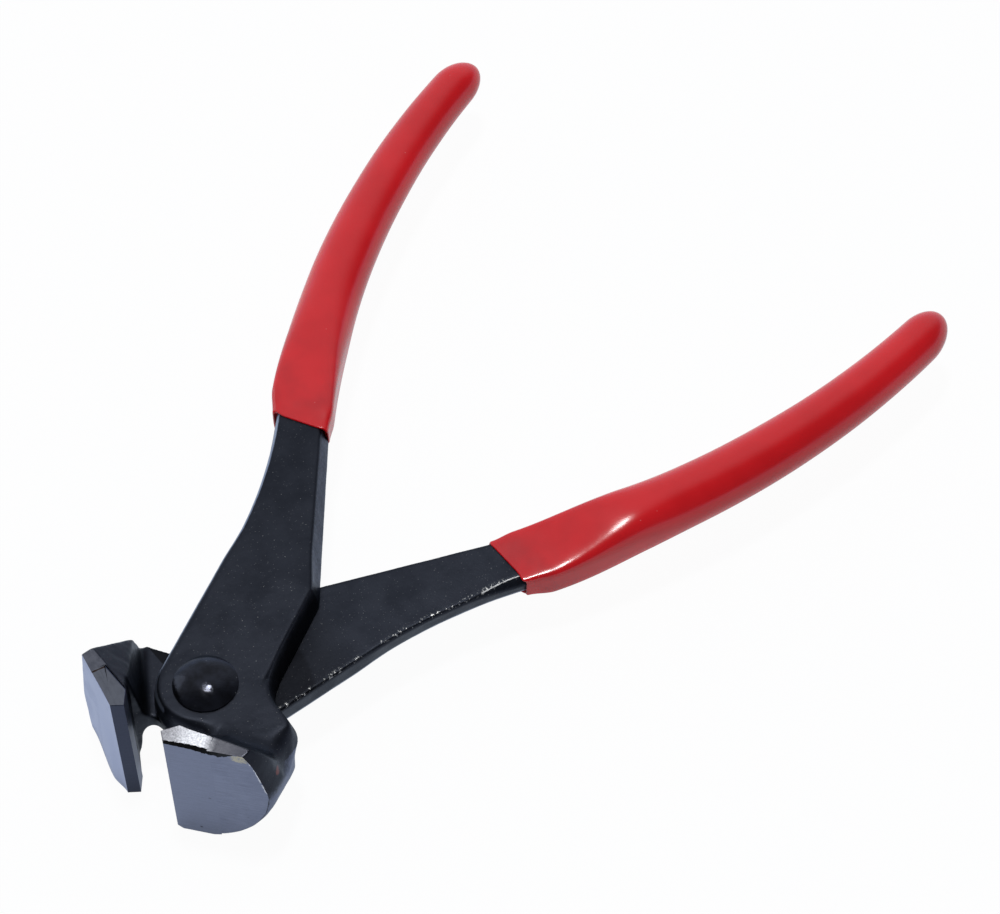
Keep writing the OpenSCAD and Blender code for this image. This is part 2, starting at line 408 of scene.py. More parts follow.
class Graph(Nodes):
    """Shader nodes of one new material with a Principled shader."""

    def __init__(self, name: str) -> None:
        """Starts the material, and takes Object coordinates as the place of its patterns."""
        self.material = bpy.data.materials.new(name)
        self.material.use_nodes = True
        super().__init__(self.material.node_tree)
        self.tree.nodes.clear()
        self.shader = self.node("ShaderNodeBsdfPrincipled")
        self.node("ShaderNodeOutputMaterial", {"Surface": self.shader.outputs["BSDF"]})
        self.place = self.node("ShaderNodeTexCoord").outputs["Object"]

    def noise(self, scale: float, detail: float = 3.0, place: object = None) -> bpy.types.NodeSocket:
        """Noise between 0 and 1, with a scale in features per metre."""
        inputs = {"Vector": place or self.place, "Scale": scale, "Detail": detail, "Roughness": 0.6}
        return self.node("ShaderNodeTexNoise", inputs).outputs["Fac"]

    def product(self, *factors: object) -> bpy.types.NodeSocket:
        """Product of two or more numbers.

        Args:
            factors: numbers or output sockets.

        Returns:
            The product's socket.
        """
        result = factors[0]
        for factor in factors[1:]:
            result = self.math("MULTIPLY", result, factor)
        return result

    def attribute(self, name: str) -> bpy.types.NodeSocket:
        """The piece's own number of that name."""
        return self.node("ShaderNodeAttribute", attribute_name=name).outputs["Fac"]

    def between(self, share: object, low: object, high: object) -> bpy.types.NodeSocket:
        """Number between two others."""
        return self.node("ShaderNodeMix", {0: share, 2: low, 3: high}).outputs[0]

    @property
    def brush(self) -> bpy.types.NodeSocket:
        """The piece's brush vector: X along the face, Y up it, Z behind it, in metres."""
        return self.node("ShaderNodeAttribute", attribute_name="brush").outputs["Vector"]

    @property
    def along(self) -> bpy.types.NodeSocket:
        """Place along the face, in metres."""
        return self.node("ShaderNodeSeparateXYZ", {"Vector": self.brush}).outputs["X"]

    def streaks(self, scale: tuple[float, float, float], detail: float = 4.0) -> bpy.types.NodeSocket:
        """Noise drawn out along the brush vector: features per metre along, up and behind the face."""
        place = self.node("ShaderNodeMapping", {"Vector": self.brush, "Scale": scale}).outputs["Vector"]
        return self.span(self.noise(1.0, detail, place), 0.3, 0.7)

    def ragged(self, name: str, width: float, jitter: float) -> bpy.types.NodeSocket:
        """Mask of an attribute that is a depth in millimetres, with a ragged border.

        Args:
            name: the attribute.
            width: depth over which the mask rises.
            jitter: depth by which noise moves the border.

        Returns:
            The mask.
        """
        wander = self.math("SUBTRACT", self.noise(1100.0, 4.0), 0.5)
        moved = self.math("ADD", self.attribute(name), self.product(wander, jitter))
        return self.span(moved, 0.0, width)

    def worn(self, value: object, grain: float, depth: float, detail: float = 3.0) -> bpy.types.NodeSocket:
        """A number plus noise of that many features per metre and that depth."""
        return self.math("ADD", value, self.product(self.noise(grain, detail), depth))

    def specks(self, scale: float, kept: float, radius: float) -> bpy.types.NodeSocket:
        """Mask of small round specks: in a share of random cells, the part near the cell's middle.

        Args:
            scale: cells per metre.
            kept: share of the cells that hold a speck.
            radius: a speck's size, in cells.

        Returns:
            The mask, of a random brightness in each cell.
        """
        cell = self.node("ShaderNodeTexVoronoi", {"Vector": self.place, "Scale": scale})
        pick = self.node("ShaderNodeSeparateColor", {"Color": cell.outputs["Color"]})
        chosen = self.math("GREATER_THAN", pick.outputs["Red"], 1.0 - kept)
        near = self.span(cell.outputs["Distance"], radius, radius * 0.4)
        bright = self.span(pick.outputs["Green"], 0.0, 1.0, 0.25, 1.0)
        return self.product(chosen, near, bright)

    def bump(self, height: object) -> bpy.types.NodeSocket:
        """Normal of a surface with this height in metres."""
        inputs = {"Height": height, "Distance": 1.0, "Strength": 1.0}
        return self.node("ShaderNodeBump", inputs).outputs["Normal"]

    def relief(self, *layers: tuple[object, float]) -> bpy.types.NodeSocket:
        """Height in metres: the sum of the layers.

        Args:
            layers: a mask or noise and its full height in thousandths of a millimetre, for each layer.

        Returns:
            The sum's socket.
        """
        total = 0.0
        for layer, height in layers:
            total = self.math("ADD", self.product(layer, height * MICRON), total)
        return total

    def finish(self, **sockets: object) -> bpy.types.Material:
        """Feeds the shader's sockets, named with underscores for spaces, and returns the material."""
        for key, value in sockets.items():
            self.feed(self.shader.inputs[key.replace("_", " ").title()], value)
        return self.material


Colour = tuple[float, float, float]
BLUE_EDGE = (0.84, 0.91, 1.0)


@dataclass(frozen=True)
class GroundSteel:
    """Bare steel ground in fine lines, with pits, for a face, a bevel or a land.

    stroke gives the lines' features per metre along, up and behind the front face, and pits the share of
    cells that hold a pit. A land may have a seam of another colour, seam_place metres along the face.
    """

    dark: Colour
    light: Colour
    roughness: float
    stroke: tuple[float, float, float] = (220.0, 2600.0, 0.0)
    pits: float = 0.05
    seam: Colour | None = None
    seam_place: float = 0.0090
    pit_shade: float = 0.3

    def tone(self, graph: Graph) -> tuple[bpy.types.NodeSocket, bpy.types.NodeSocket]:
        """Colour of the ground steel, and its fine lines.

        Args:
            graph: the material's nodes.

        Returns:
            The colour, and the lines as a mask.
        """
        lines = graph.streaks(self.stroke)
        tone = graph.product(graph.math("ADD", lines, graph.noise(3000.0)), 0.5)
        colour = graph.blend(tone, self.dark, self.light)
        uneven = graph.span(graph.noise(1500.0), 0.42, 0.55)
        pits = graph.product(graph.specks(420.0, self.pits, 0.22), uneven)
        return graph.blend(pits, colour, tuple(part * self.pit_shade for part in self.dark)), lines

    def material(self, name: str) -> bpy.types.Material:
        """Builds the shader under that name."""
        graph = Graph(name)
        colour, lines = self.tone(graph)
        if self.seam is not None:
            away = graph.math("ABSOLUTE", graph.math("SUBTRACT", graph.along, self.seam_place))
            away = graph.worn(away, 900.0, 0.0003)
            colour = graph.blend(graph.span(away, 0.00042, 0.00026), colour, self.seam)
        rough = graph.span(lines, 0.0, 1.0, self.roughness - 0.05, self.roughness + 0.07)
        height = graph.relief((lines, 6.0), (graph.noise(2400.0), 8.0))
        return graph.finish(base_color=colour, metallic=0.9, roughness=rough, specular_tint=BLUE_EDGE,
                            normal=graph.bump(height))


@dataclass(frozen=True)
class LandSteel:
    """Land ground at a jaw's own side, with a painted highlight: brightest in the middle of the tip, greyer
    to both ends.

    It has a fine grain. The places are in metres along the face.
    """

    # These colours along the land paint a highlight on it.
    land_highlight: Colour = (0.54, 0.55, 0.575)
    grey: Colour = (0.23, 0.23, 0.245)
    dull: Colour = (0.070, 0.071, 0.080)
    dim: Colour = (0.036, 0.037, 0.046)
    mark: Colour = (0.03, 0.03, 0.03)
    land_highlight_from: float = 0.0068
    land_highlight_to: float = 0.0078
    dull_from: float = 0.0112
    end: float = 0.018

    def tone(self, graph: Graph) -> bpy.types.NodeSocket:
        """Colour along the land.

        Args:
            graph: the material's nodes.

        Returns:
            The colour.
        """
        along = graph.worn(graph.along, 500.0, 0.0012)
        # Painted highlight: the colour rises from grey to silver along the land, then falls to dull and dim.
        colour = graph.blend(graph.span(along, 0.0, self.land_highlight_from), self.grey, self.land_highlight)
        colour = graph.blend(graph.span(along, self.land_highlight_to, self.dull_from), colour, self.dull)
        colour = graph.blend(graph.span(along, self.dull_from, self.end), colour, self.dim)
        grain = graph.span(graph.noise(2600.0), 0.35, 0.65, 0.0, 0.45)
        colour = graph.blend(grain, colour, self.dim)
        marks = graph.product(graph.specks(900.0, 0.08, 0.3), graph.span(graph.noise(260.0), 0.50, 0.62))
        return graph.blend(marks, colour, self.mark)

    @staticmethod
    def rough(graph: Graph) -> bpy.types.NodeSocket:
        """Roughness of the land."""
        return graph.span(graph.noise(1200.0), 0.3, 0.7, 0.27, 0.38)

    def material(self, name: str) -> bpy.types.Material:
        """Builds the shader under that name."""
        graph = Graph(name)
        height = graph.relief((graph.noise(2400.0), 10.0))
        return graph.finish(base_color=self.tone(graph), metallic=0.9, roughness=self.rough(graph),
                            normal=graph.bump(height))


@dataclass(frozen=True)
class BlackOxide:
    """Blue-black forged steel with grain, specks, worn flecks and painted light and shade, ground bright
    where the piece says so.

    The piece's numbers ground, own_land, far_land and chip_shade are depths in millimetres, above 0 inside
    the area, and chip_shade places the chip's painted shade. border is how far a point lies inside the front
    face's outer border. lap_edge is the distance from the lap face's outer edge, where flecks are worn bare,
    and top_edge_reflection and cuff_highlight_line place a painted reflection along the outer top edge and a
    painted highlight along the edge by the cuff. joint_shade is above 0 inside the painted shade round the
    joint and wall_shade down the painted shade on the strap's inner wall. painted_sheen is above 0 where a
    lighter bluish painted reflection lies, and patch and spot in the braze and rust marks.
    """

    face: GroundSteel
    dark: Colour = (0.0168, 0.019, 0.0258)
    light: Colour = (0.0232, 0.026, 0.0345)
    # Colour of the painted shade round the joint and on the strap's inner wall.
    black: Colour = (0.004, 0.004, 0.005)
    bare: Colour = (0.50, 0.50, 0.48)
    flecks: Colour = (0.72, 0.74, 0.78)
    # Colour of a painted highlight along the edge by the cuff.
    line: Colour = (0.82, 0.82, 0.80)
    # Colour of a painted reflection along the outer top edge.
    edge_reflection: Colour = (0.26, 0.30, 0.38)
    # Colour of a painted reflection: a lighter bluish strip on inner walls and a round cheek.
    sheen_blue: Colour = (0.13, 0.15, 0.225)
    land: LandSteel = LandSteel()
    far_land: GroundSteel = GroundSteel((0.045, 0.048, 0.060), (0.090, 0.094, 0.112), 0.46,
                                        (700.0, 0.0, 900.0))
    seam: Colour = (0.020, 0.012, 0.009)
    # Colour of the painted shade in the chip.
    chip_shade: Colour = (0.006, 0.006, 0.006)
    braze: Colour = (0.42, 0.40, 0.31)
    rust: Colour = (0.13, 0.045, 0.04)
    roughness: float = 0.43

    @staticmethod
    def within(graph: Graph, name: str) -> bpy.types.NodeSocket:
        """Mask of a ground land, with a slightly ragged border."""
        return graph.ragged(name, 0.04, 0.16)

    def material(self, name: str) -> bpy.types.Material:
        """Builds the shader under that name."""
        graph = Graph(name)
        mottle = graph.span(graph.noise(140.0, 5.0), 0.3, 0.7)
        grain = graph.noise(3000.0, 2.0)
        scale = graph.noise(900.0, 3.0)
        colour = graph.blend(mottle, self.dark, self.light)
        colour = graph.blend(graph.span(scale, 0.55, 0.75, 0.0, 0.35), colour, self.dark)
        # Painted shade round the joint: the lap face darkens within a radius of the rivet, with a soft edge.
        for start, end in ((-14.0, 0.0), (-0.6, 0.6)):
            joint_shade = graph.span(graph.attribute("joint_shade"), start, end, 0.0, 0.5)
            colour = graph.blend(joint_shade, colour, self.black)
        colour = self.wear_and_light(graph, colour)
        # Painted shade down the strap's inner wall, where it faces the other half.
        colour = graph.blend(graph.span(graph.attribute("wall_shade"), 0.0, 2.2, 0.0, 0.9), colour, self.black)
        # Painted reflection: a lighter bluish strip on the bar's inner wall and on a round cheek.
        sheen_amount = graph.worn(graph.attribute("painted_sheen"), 1500.0, 1.2, 4.0)
        colour = graph.blend(graph.span(sheen_amount, 0.4, 1.6, 0.0, 0.85), colour, self.sheen_blue)
        colour = graph.blend(graph.ragged("spot", 0.35, 1.5), colour, self.rust)
        colour, lines = self.ground(graph, colour)
        rough = graph.span(mottle, 0.0, 1.0, self.roughness - 0.05, self.roughness + 0.06)
        rough = graph.math("ADD", rough, graph.product(lines, 0.05))
        rough = graph.between(self.within(graph, "own_land"), rough, self.land.rough(graph))
        height = graph.relief((grain, 18.0), (scale, 30.0), (lines, 4.0))
        height = graph.between(self.within(graph, "own_land"), height, graph.relief((grain, 10.0)))
        return graph.finish(base_color=colour, metallic=0.9, roughness=rough, specular_tint=BLUE_EDGE,
                            normal=graph.bump(height))

    def wear_and_light(self, graph: Graph, colour: bpy.types.NodeSocket) -> bpy.types.NodeSocket:
        """Adds the worn specks all over, the worn flecks along the lap face's outer edge, a painted
        reflection along the outer top edge and a painted highlight by the cuff.

        Args:
            graph: the material's nodes.
            colour: the oxide.

        Returns:
            The worn colour.
        """
        for scale, kept, radius, strength in ((1500.0, 0.10, 0.17, 0.4), (2500.0, 0.20, 0.28, 0.15)):
            specks = graph.product(graph.specks(scale, kept, radius), strength)
            colour = graph.blend(specks, colour, self.bare)
        # Painted reflection: a light bluish line along the outer top edge.
        reflecting_edge = graph.worn(graph.attribute("top_edge_reflection"), 600.0, 0.25)
        colour = graph.blend(graph.span(reflecting_edge, 0.72, 0.36), colour, self.edge_reflection)
        edge = graph.attribute("lap_edge")
        near = graph.product(graph.span(edge, 1.1, 0.25), graph.span(edge, -0.6, -0.1))
        flecks = graph.span(graph.noise(1700.0, 3.0), 0.55, 0.66)
        clusters = graph.span(graph.noise(260.0, 2.0), 0.36, 0.60)
        colour = graph.blend(graph.product(near, flecks, clusters), colour, self.bare)
        # Painted highlight: a bright line along the lap face's outer edge by the cuff.
        line = graph.worn(graph.math("ABSOLUTE", graph.attribute("cuff_highlight_line")), 1200.0, 0.22)
        return graph.blend(graph.span(line, 0.27, 0.17), colour, self.line)

    def ground(self, graph: Graph,
               colour: bpy.types.NodeSocket) -> tuple[bpy.types.NodeSocket, bpy.types.NodeSocket]:
        """Lays the ground face and lands over the oxide, with bright flecks at the face's border and painted
        shade in the chip.

        Args:
            graph: the material's nodes.
            colour: the oxide.

        Returns:
            The colour, and the face's fine lines within the ground area.
        """
        brushed, lines = self.face.tone(graph)
        inside = graph.ragged("ground", 0.03, 0.16)
        torn = graph.worn(graph.attribute("border"), 1300.0, 0.9, 4.0)
        rim = graph.product(graph.span(torn, 0.78, 0.55), graph.span(graph.noise(420.0), 0.40, 0.52))
        brushed = graph.blend(rim, brushed, self.flecks)
        crumbs = graph.span(graph.noise(2300.0, 3.0), 0.36, 0.52)
        brushed = graph.blend(graph.product(graph.ragged("patch", 0.25, 1.6), crumbs), brushed, self.braze)
        colour = graph.blend(inside, colour, brushed)
        colour = graph.blend(self.within(graph, "own_land"), colour, self.land.tone(graph))
        far, _ = self.far_land.tone(graph)
        along = graph.worn(graph.along, 900.0, 0.0003)
        far = graph.blend(graph.span(along, 0.0095, 0.0093), far, self.seam)
        colour = graph.blend(self.within(graph, "far_land"), colour, far)
        # Painted shade: the chip along the face's upper edge is near black.
        colour = graph.blend(graph.ragged("chip_shade", 0.08, 0.25), colour, self.chip_shade)
        return colour, graph.product(lines, inside)


@dataclass(frozen=True)
class RivetSteel:
    """Nearly black dome, smooth and a little uneven, with a few bright specks."""

    dark: Colour = (0.012, 0.012, 0.0145)
    light: Colour = (0.026, 0.028, 0.037)
    speck: Colour = (0.5, 0.5, 0.5)

    def material(self, name: str) -> bpy.types.Material:
        """Builds the shader under that name."""
        graph = Graph(name)
        mottle = graph.span(graph.noise(320.0, 5.0), 0.3, 0.7)
        colour = graph.blend(mottle, self.dark, self.light)
        colour = graph.blend(graph.specks(1400.0, 0.06, 0.17), colour, self.speck)
        rough = graph.span(graph.noise(500.0, 3.0), 0.3, 0.7, 0.11, 0.15)
        height = graph.relief((graph.noise(650.0, 2.0), 35.0), (graph.noise(3200.0, 2.0), 20.0))
        return graph.finish(base_color=colour, metallic=0.85, roughness=rough, specular_tint=BLUE_EDGE,
                            normal=graph.bump(height))


@dataclass(frozen=True)
class DippedVinyl:
    """Glossy red vinyl with a soft orange peel, hazy patches, a little dust, and darker soiled patches with
    painted shade towards the cuff.

    The piece's number grime_and_shade_share falls from 1 at the cuff to 0 along the grip.
    """

    deep: Colour = (0.58, 0.004, 0.007)
    bright: Colour = (0.67, 0.007, 0.011)
    dust: Colour = (0.62, 0.20, 0.20)
    grime_and_shade: Colour = (0.22, 0.006, 0.009)

    def material(self, name: str) -> bpy.types.Material:
        """Builds the shader under that name."""
        graph = Graph(name)
        cloud = graph.span(graph.noise(45.0, 3.0), 0.3, 0.7)
        colour = graph.blend(cloud, self.deep, self.bright)
        # Partly real soiling, partly painted shade: the red darkens in patches towards the cuff.
        smudges_and_shade = graph.span(graph.noise(60.0, 3.0), 0.40, 0.74, 0.0, 0.5)
        colour = graph.blend(graph.product(smudges_and_shade, graph.attribute("grime_and_shade_share")), colour, self.grime_and_shade)
        colour = graph.blend(graph.specks(700.0, 0.02, 0.13), colour, self.dust)
        rough = graph.span(graph.noise(70.0, 4.0), 0.3, 0.7, 0.17, 0.26)
        height = graph.relief((graph.noise(150.0, 2.0), 40.0), (graph.noise(1400.0, 2.0), 6.0))
        return graph.finish(base_color=colour, roughness=rough, normal=graph.bump(height))


# Pieces


@dataclass(frozen=True)
class Nose:
    """One jaw's section at the cutting edge, seen along the rivet, and the planes it is ground to.

    land_tilt lets the land at the half's own side fall towards the front. chipped is the share of the long
    chip along the front face's upper edge that this jaw has, and bulge how far grinding left its face convex,
    along the face and up it within the spans given.
    """

    half_edge: float
    land_tilt: float
    chipped: float
    bulge: float
    edge_gap: float = 0.1
    edge_reach: float = 18.695
    front_bevel_width: float = 2.75
    front_bevel_angle: float = 35.4
    back_bevel_width: float = 3.8
    back_bevel_angle: float = 39.0
    face_sweep: float = 9.6
    tip_width: float = 10.5
    bulge_rise: Span = (0.0, 5.0)
    bulge_fall: Span = (5.0, 17.0)
    bulge_heights: Span = (-8.0, 14.0)
    chip_places: tuple[float, ...] = (0.0, 5.5, 8.5, 11.6, 14.4)
    chip_drops: tuple[float, ...] = (0.25, 0.60, 1.30, 1.70, 0.15)
    chip_depths: tuple[float, ...] = (0.60, 0.70, 0.45, 0.20, 0.05)
    least_chip: float = 0.10

    @property
    def edge(self) -> np.ndarray:
        """The cutting edge."""
        return np.array([self.edge_gap / 2, -self.edge_reach])

    @property
    def front_corner(self) -> np.ndarray:
        """Where the small front bevel meets the ground front face."""
        angle = math.radians(self.front_bevel_angle)
        return self.edge + self.front_bevel_width * np.array([math.sin(angle), -math.cos(angle)])

    @property
    def wall_start(self) -> np.ndarray:
        """Where the bevel behind the edge meets the hollow's inner wall."""
        angle = math.radians(self.back_bevel_angle)
        return self.edge + self.back_bevel_width * np.array([math.cos(angle), math.sin(angle)])

    @property
    def along(self) -> np.ndarray:
        """Direction along the front face, away from the edge."""
        angle = math.radians(self.face_sweep)
        return np.array([math.cos(angle), math.sin(angle)])

    @property
    def behind(self) -> np.ndarray:
        """Direction from the front face into the jaw."""
        return np.array([-self.along[1], self.along[0]])

    def face_place(self, x: np.ndarray, y: np.ndarray) -> tuple[np.ndarray, np.ndarray]:
        """Distance along the front face from its corner, and depth behind the face."""
        dx, dy = x - self.front_corner[0], y - self.front_corner[1]
        return dx * self.along[0] + dy * self.along[1], dx * self.behind[0] + dy * self.behind[1]

    def brush(self, points: np.ndarray) -> np.ndarray:
        """Places along, up and behind the front face in metres, by which the finishes draw their lines."""
        s, depth = self.face_place(points[:, 0], points[:, 1])
        return np.stack([s, points[:, 2], depth], axis=1) * MM

    def own_land_height(self, y: np.ndarray) -> np.ndarray:
        """Height of the ground land at the half's own side, which falls a little towards the front."""
        fall = math.tan(math.radians(self.land_tilt))
        return self.half_edge + np.minimum(y - self.wall_start[1], 0.0) * fall

    def convex(self, s: np.ndarray, z: np.ndarray) -> np.ndarray:
        """How far the face stands out of its plane: a swelling along it that grows to the own side."""
        along = rise(s, self.bulge_rise) * (1.0 - rise(s, self.bulge_fall))
        return self.bulge * along * rise(z, self.bulge_heights)

    def chip(self, s: np.ndarray) -> tuple[np.ndarray, np.ndarray]:
        """Size of the chip along the face's upper edge: a line of corners, made uneven by two sine waves.

        Args:
            s: places along the face.

        Returns:
            How far it reaches down the face, and back into the land.
        """
        wave = 1.0 + 0.10 * np.sin(4.1 * s) + 0.08 * np.sin(9.7 * s + 1.0)
        drop = np.interp(s, self.chip_places, self.chip_drops, right=self.least_chip)
        depth = np.interp(s, self.chip_places, self.chip_depths, right=self.least_chip)
        return (mix(self.least_chip, drop * wave, self.chipped),
                mix(self.least_chip, depth * wave, self.chipped))


@dataclass(frozen=True)
class Cheek:
    """Outline of a jaw's outer side seen from the front: distance along the face against height.

    From its ridge the cheek leans in to the land at the half's own side, and curls in further above
    curl_start. The other way it slopes in to a second land, or runs round in a quarter of a superellipse that
    swells a little behind the face's border. Each side may flare out with its depth behind the face. The
    three back values give the circle of the shoulder at the cheek's back, seen along the rivet.
    """

    far_end: FarEnd
    ridge_reach: float
    ridge_height: float
    ridge_round: float
    own_lean: float
    own_flare: float
    own_curl: float
    corner_radius: float
    back_along: float
    back_behind: float
    back_radius: float
    far_lean: float = 0.24
    far_flare: float = 0.20
    curl_start: float = 11.0
    round_start: float = 3.5
    round_middle: float = 4.2
    round_power: float = 2.1
    round_swell: float = 0.9
    swell_from: float = -1.5
    swell_depth: float = 1.2
    full_depth: float = 11.0

    @property
    def widest(self) -> float:
        """Distance along the face that the flared cheek reaches at its back."""
        return self.ridge_reach + self.own_flare * self.full_depth

    def sides(self, s: np.ndarray, depth: np.ndarray, z: np.ndarray,
              half_edge: float) -> tuple[np.ndarray, np.ndarray]:
        """Distances outside the cheek's own and far sides.

        Args:
            s: places along the face.
            depth: depths behind the face.
            z: heights.
            half_edge: half the length of the cutting edge.

        Returns:
            The two distances.
        """
        if self.far_end is FarEnd.ROUND:
            grown = 1.0 - np.exp(-np.maximum(depth, self.swell_from) / self.swell_depth)
            s = s - self.round_swell * grown
        own = s - self.own_flare * depth - self.ridge_reach + self.own_lean * (z - self.ridge_height)
        own = own + self.own_curl * np.maximum(z - self.curl_start, 0.0) ** 2
        own = own / math.hypot(1.0, self.own_lean)
        behind = s - self.far_flare * depth
        if self.far_end is FarEnd.SLOPED:
            far = behind - self.ridge_reach - self.far_lean * (z - self.ridge_height)
            return own, far / math.hypot(1.0, self.far_lean)
        wide, tall = self.ridge_reach - self.round_start, half_edge + self.round_middle
        u = np.maximum(behind - self.round_start, 1e-6) / wide
        v = np.maximum(self.round_middle - z, 0.0) / tall
        size = (u**self.round_power + v**self.round_power) ** (1.0 / self.round_power)
        tilt = self.round_power - 1.0
        slope = np.hypot((u / size) ** tilt / wide, (v / size) ** tilt / tall)
        return own, (size - 1.0) / slope

    def outside(self, s: np.ndarray, depth: np.ndarray, z: np.ndarray, half_edge: float) -> np.ndarray:
        """Distance outside the whole outline, rounded at the ridge where the two sides meet."""
        return round_meet(self.ridge_round, *self.sides(s, depth, z, half_edge))

    def reach(self, z: np.ndarray, half_edge: float) -> np.ndarray:
        """Distance along the face that the far end reaches.

        Args:
            z: heights.
            half_edge: half the length of the cutting edge.

        Returns:
            One distance for each height.
        """
        if self.far_end is FarEnd.SLOPED:
            return self.ridge_reach + self.far_lean * (z - self.ridge_height)
        down = np.clip((self.round_middle - z) / (half_edge + self.round_middle), 0.0, 1.0)
        left = 1.0 - down**self.round_power
        return self.round_start + (self.ridge_reach - self.round_start) * left ** (1.0 / self.round_power)


@dataclass(frozen=True)
class WearAndLight:
    """Where a forging is worn and marked, and where light and shade are painted on it, in millimetres.

    lap_zone holds the heights about the lap face that count as it. The line values give the painted highlight
    along the edge by the cuff and the reflection values the painted reflection along the outer top edge,
    which fade out over their runs. joint_shade_radius is the reach of the painted shade round the joint, and
    the wall_shade values give the painted shade on the strap's inner wall. The sheen values give a lighter
    bluish painted reflection on the bar's inner wall, and the cheek values place it on a round cheek. patch
    is braze on the front face.
    """

    lap_zone: Span = (-0.4, 0.5)
    joint_shade_radius: float = 22.3
    line_length: float = 13.0
    line_run: float = 4.0
    line_fade: float = 2.0
    reflection_height: float = 2.0
    reflection_run: Span = (-6.0, -2.0)
    reflection_fade: float = 3.0
    wall_shade_start: float = -2.0
    wall_shade_past_shoulder: float = 4.0
    wall_shade_depth: float = 1.5
    wall_shade_below_top: float = 0.7
    sheen_height: float = 0.3
    sheen_past_shoulder: float = 2.0
    sheen_depth: float = 2.6
    sheen_below_top: float = 0.5
    most_sheen: float = 0.15
    cheek_start: float = 6.0
    cheek_behind: float = 0.1
    cheek_depth: float = 1.5
    border_run: Span = (1.0, 4.0)
    patch_place: tuple[float, float] = (15.7, 15.6)
    patch_size: tuple[float, float] = (2.0, 1.5)
    patch_depth: float = 1.0
    rust_place: tuple[float, float, float] = (21.9, -13.0, 6.4)
    rust_radius: float = 1.1


